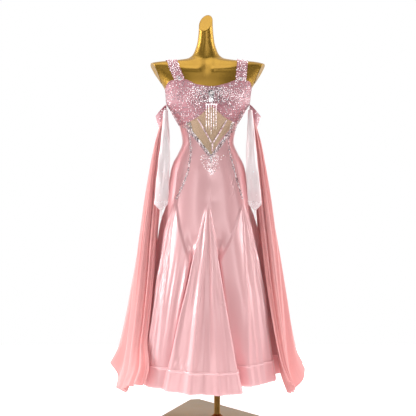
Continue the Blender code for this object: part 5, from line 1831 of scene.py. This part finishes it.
class MakeBrooch(bpy.types.Operator):
    """Stone-set brooch at the neckline, with stones spreading over the cups beside it"""
    bl_idname = "ballroom_dress.brooch"
    bl_label = "Brooch"

    def execute(self, context):
        centre, ring = StoneList(), StoneList()
        centre.add(CENTRE_X, ROSETTE.height, ROSETTE.radius)
        centre.make("brooch_centre", pearl(), lift=0.0016)
        for turn in circle(ROSETTE.rays):
            for reach, radius in RAY_BEADS:
                ring.add(CENTRE_X + reach * math.sin(turn), ROSETTE.height + reach * math.cos(turn),
                         radius, always=True)
        ring.add(CENTRE_X, CLUSTER.height, CLUSTER.radius)
        for turn in circle(CLUSTER.beads):
            ring.add(CENTRE_X + CLUSTER.ring * math.sin(turn),
                     CLUSTER.height + CLUSTER.ring * math.cos(turn), CLUSTER.bead, always=True)
        ring.make("brooch_stones", silver_stones(), "brooch", lift=0.0020)
        across = np.linspace(-1, 1, SETTING_COLUMNS)[None, :]
        up = np.linspace(SETTING[0][0], SETTING[-1][0], SETTING_ROWS)[:, None]
        heights = np.broadcast_to(up, (SETTING_ROWS, SETTING_COLUMNS))
        azimuths = front_azimuth(CENTRE_X + across * smooth(up, np.array(SETTING), 1), heights)
        setting = panel("brooch_setting", azimuths, heights, 0.0006, 0.0010)
        finished(setting, silver_stones(), "crystal")
        beside_it = StoneList()
        dice = np.random.default_rng(17)
        for _ in range(SURROUND.tries):
            off, up = dice.normal(0.0, SURROUND.spread), dice.uniform(SURROUND.low, SURROUND.high)
            if (math.hypot(off, up - ROSETTE.height) > SURROUND.off_rosette
                    and math.hypot(off, up - CLUSTER.height) > SURROUND.off_cluster):
                beside_it.add(CENTRE_X + off, up, dice.choice(SURROUND.radii))
        beside_it.make("brooch_surround", silver_stones(), lift=0.0009)
        return {"FINISHED"}


class MakeStrands(bpy.types.Operator):
    """Strands of crystal beads that hang under the brooch, each with a drop"""
    bl_idname = "ballroom_dress.strands"
    bl_label = "Crystal strands"

    def execute(self, context):
        low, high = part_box("crystal_fringe")
        y = (low.y + high.y) / 2
        bead = sizes().bead
        places, radii = [], []
        for x in np.arange(-STRANDS.half_length + 0.002, STRANDS.half_length,
                           0.0030):
            places.append((CENTRE_X + x, y, STRANDS.top - 0.002))
            radii.append(0.0021)
        drops = []
        for k in range(-2, 3):
            end = (STRANDS.end if k else STRANDS.middle_end)
            x = CENTRE_X + k * STRANDS.spacing
            for height in np.arange(end + STRANDS.drop_height, STRANDS.low, STRANDS.step * bead):
                big = 0.92 if round(height / 0.0027) % 4 else 1.15
                places.append((x, y, height))
                radii.append(bead * big)
            profile = [(radius, end + up) for radius, up in DROP]
            drops.append(turned_piece(f"strand_drop_{k + 3}", profile, (x, y), 10))
        facing = np.tile((0.0, 0.0, 1.0), (len(places), 1))
        made = stones_at("strand_beads", places, radii, facing, crystal(), placed_beads())
        finished(made, None, "crystal", "crystal_fringe")
        for drop in drops:
            finished(drop, amber(), "crystal")
        return {"FINISHED"}


# ---------------------------------------------------------------- stage
# Softboxes: name, place, point that it faces, width, height, power in watts.
SOFTBOXES = (
    ("front", (0.5, -3.5, 2.1), (0.0, 0.0, 0.8), 1.3, 0.8, 13.0),
    ("key", (-2.7, -0.3, 1.8), (0.0, 0.0, 0.8), 0.45, 1.8, 42.0),
    ("fill", (2.75, -0.3, 1.8), (0.0, 0.0, 0.8), 0.4, 1.8, 24.0),
    ("left_strip", (-1.6, -2.8, 1.3), (0.0, 0.0, 0.6), 0.16, 2.0, 8.5),
    ("right_strip", (1.5, -2.9, 1.3), (0.0, 0.0, 0.6), 0.16, 2.0, 7.5),
    ("left_rim", (-2.6, 1.3, 1.6), (0.0, 0.0, 0.9), 0.4, 1.9, 10.0),
    ("right_rim", (2.6, 1.3, 1.6), (0.0, 0.0, 0.9), 0.4, 1.9, 10.0),
)
FLOOR = 1.3              # half of the floor's width
FLOOR_DROP = 0.0005
FLOOR_GLOW = 0.62
# What the pieces mirror: how bright the room is to the front and to the back, and where one turns into the
# other. The camera sees plain white.
ROOM = Values(colour=(1.0, 0.98, 0.98, 1), front=0.05, back=1.1, start=-0.55, end=0.0)
SENSOR = 36.0


class MakeStage(bpy.types.Operator):
    """Pale floor, white surroundings, softboxes and the camera"""
    bl_idname = "ballroom_dress.stage"
    bl_label = "Stage"

    def execute(self, context):
        stage = context.scene.dress_stage
        corners = ((-FLOOR, -FLOOR), (FLOOR, -FLOOR), (FLOOR, FLOOR), (-FLOOR, FLOOR))
        floor = new_object("floor", [(x, y, -FLOOR_DROP) for x, y in corners], [(0, 1, 2, 3)])
        ground = Finish("pale_floor", tuple(stage.floor), 0.6)
        ground.set("Roughness", ground.noise(ground.place(), 3.0, 3.0) * 0.1 + 0.55)
        ground.set("Emission Color", (*WHITE, 1))
        ground.set("Emission Strength", FLOOR_GLOW)
        floor.data.materials.append(ground.material)
        context.scene.view_settings.view_transform = "Standard"
        world = bpy.data.worlds.new("surroundings")
        context.scene.world = world
        world.use_nodes = True
        air = Nodes(world.node_tree)
        seen = air.tree.nodes["Background"]
        seen.inputs["Color"].default_value = (*WHITE, 1)
        parts = air.node("SeparateXYZ", Vector=air.node("TexCoord").outputs["Generated"])
        level = air.node("MapRange", Value=parts.outputs["Y"], From_Min=ROOM.start, From_Max=ROOM.end,
                         To_Min=ROOM.front, To_Max=ROOM.back)
        mirrored = air.node("Background", Color=ROOM.colour, Strength=level.outputs["Result"])
        either = air.node("MixShader", Fac=air.node("LightPath").outputs["Is Camera Ray"],
                          in_1=mirrored.outputs["Background"], in_2=seen.outputs["Background"])
        connect(air.tree, air.tree.nodes["World Output"].inputs["Surface"], either.outputs["Shader"])
        sun = bpy.data.lights.new("ceiling", "SUN")
        sun.energy, sun.angle = 0.95, math.radians(50.0)
        in_scene("ceiling", sun).rotation_euler = [math.radians(turn) for turn in (18.0, -12.0, 0.0)]
        for name, place, target, width, height, power in SOFTBOXES:
            light = bpy.data.lights.new(name, "AREA")
            light.shape, light.size, light.size_y, light.energy = "RECTANGLE", width, height, power
            lamp = in_scene(name, light)
            lamp.location = place
            lamp.rotation_euler = (Vector(target) - Vector(place)).to_track_quat("-Z", "Y").to_euler()
        view = bpy.data.cameras.new("camera")
        view.lens, view.sensor_width = stage.lens, SENSOR
        camera = in_scene("camera", view)
        camera.location = (0.0, -stage.distance, stage.height)
        camera.rotation_euler = (math.radians(90) - stage.tilt, 0.0, 0.0)
        context.scene.camera = camera
        return {"FINISHED"}


# ---------------------------------------------------------------- panel and registration
OPERATORS = (MakeStage, MakeDressForm, MakeStand, MakeSatin, MakeHemBand, MakeCups, MakeMidriff, MakeStraps,
             MakeArmbands, MakeSleeves, MakeFloats, MakeTrims, MakeScatter, MakeBrooch, MakeStrands)
GROUPS = (DressSizes, DressColours, StageSettings)


class BallroomDressPanel(bpy.types.Panel):
    """Sizes, colours and one button for each group of pieces"""
    bl_idname = "VIEW3D_PT_ballroom_dress"
    bl_label = "Ballroom dress"
    bl_space_type = "VIEW_3D"
    bl_region_type = "UI"
    bl_category = "Ballroom dress"

    def draw(self, context):
        for group in (sizes(), context.scene.dress_colours, context.scene.dress_stage):
            box = self.layout.box()
            for name in type(group).__annotations__:
                box.prop(group, name)
        for operator in OPERATORS:
            self.layout.operator(operator.bl_idname)


def register():
    for one in (*GROUPS, *OPERATORS, BallroomDressPanel):
        bpy.utils.register_class(one)
    bpy.types.Scene.dress_sizes = bpy.props.PointerProperty(type=DressSizes)
    bpy.types.Scene.dress_colours = bpy.props.PointerProperty(type=DressColours)
    bpy.types.Scene.dress_stage = bpy.props.PointerProperty(type=StageSettings)


def unregister():
    for name in ("dress_sizes", "dress_colours", "dress_stage"):
        delattr(bpy.types.Scene, name)
    for one in reversed((*GROUPS, *OPERATORS, BallroomDressPanel)):
        bpy.utils.unregister_class(one)


def main():
    """Builds every piece."""
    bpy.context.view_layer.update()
    register()
    for operator in OPERATORS:
        group, name = operator.bl_idname.split(".")
        getattr(getattr(bpy.ops, group), name)()


if __name__ == "__main__":
    main()
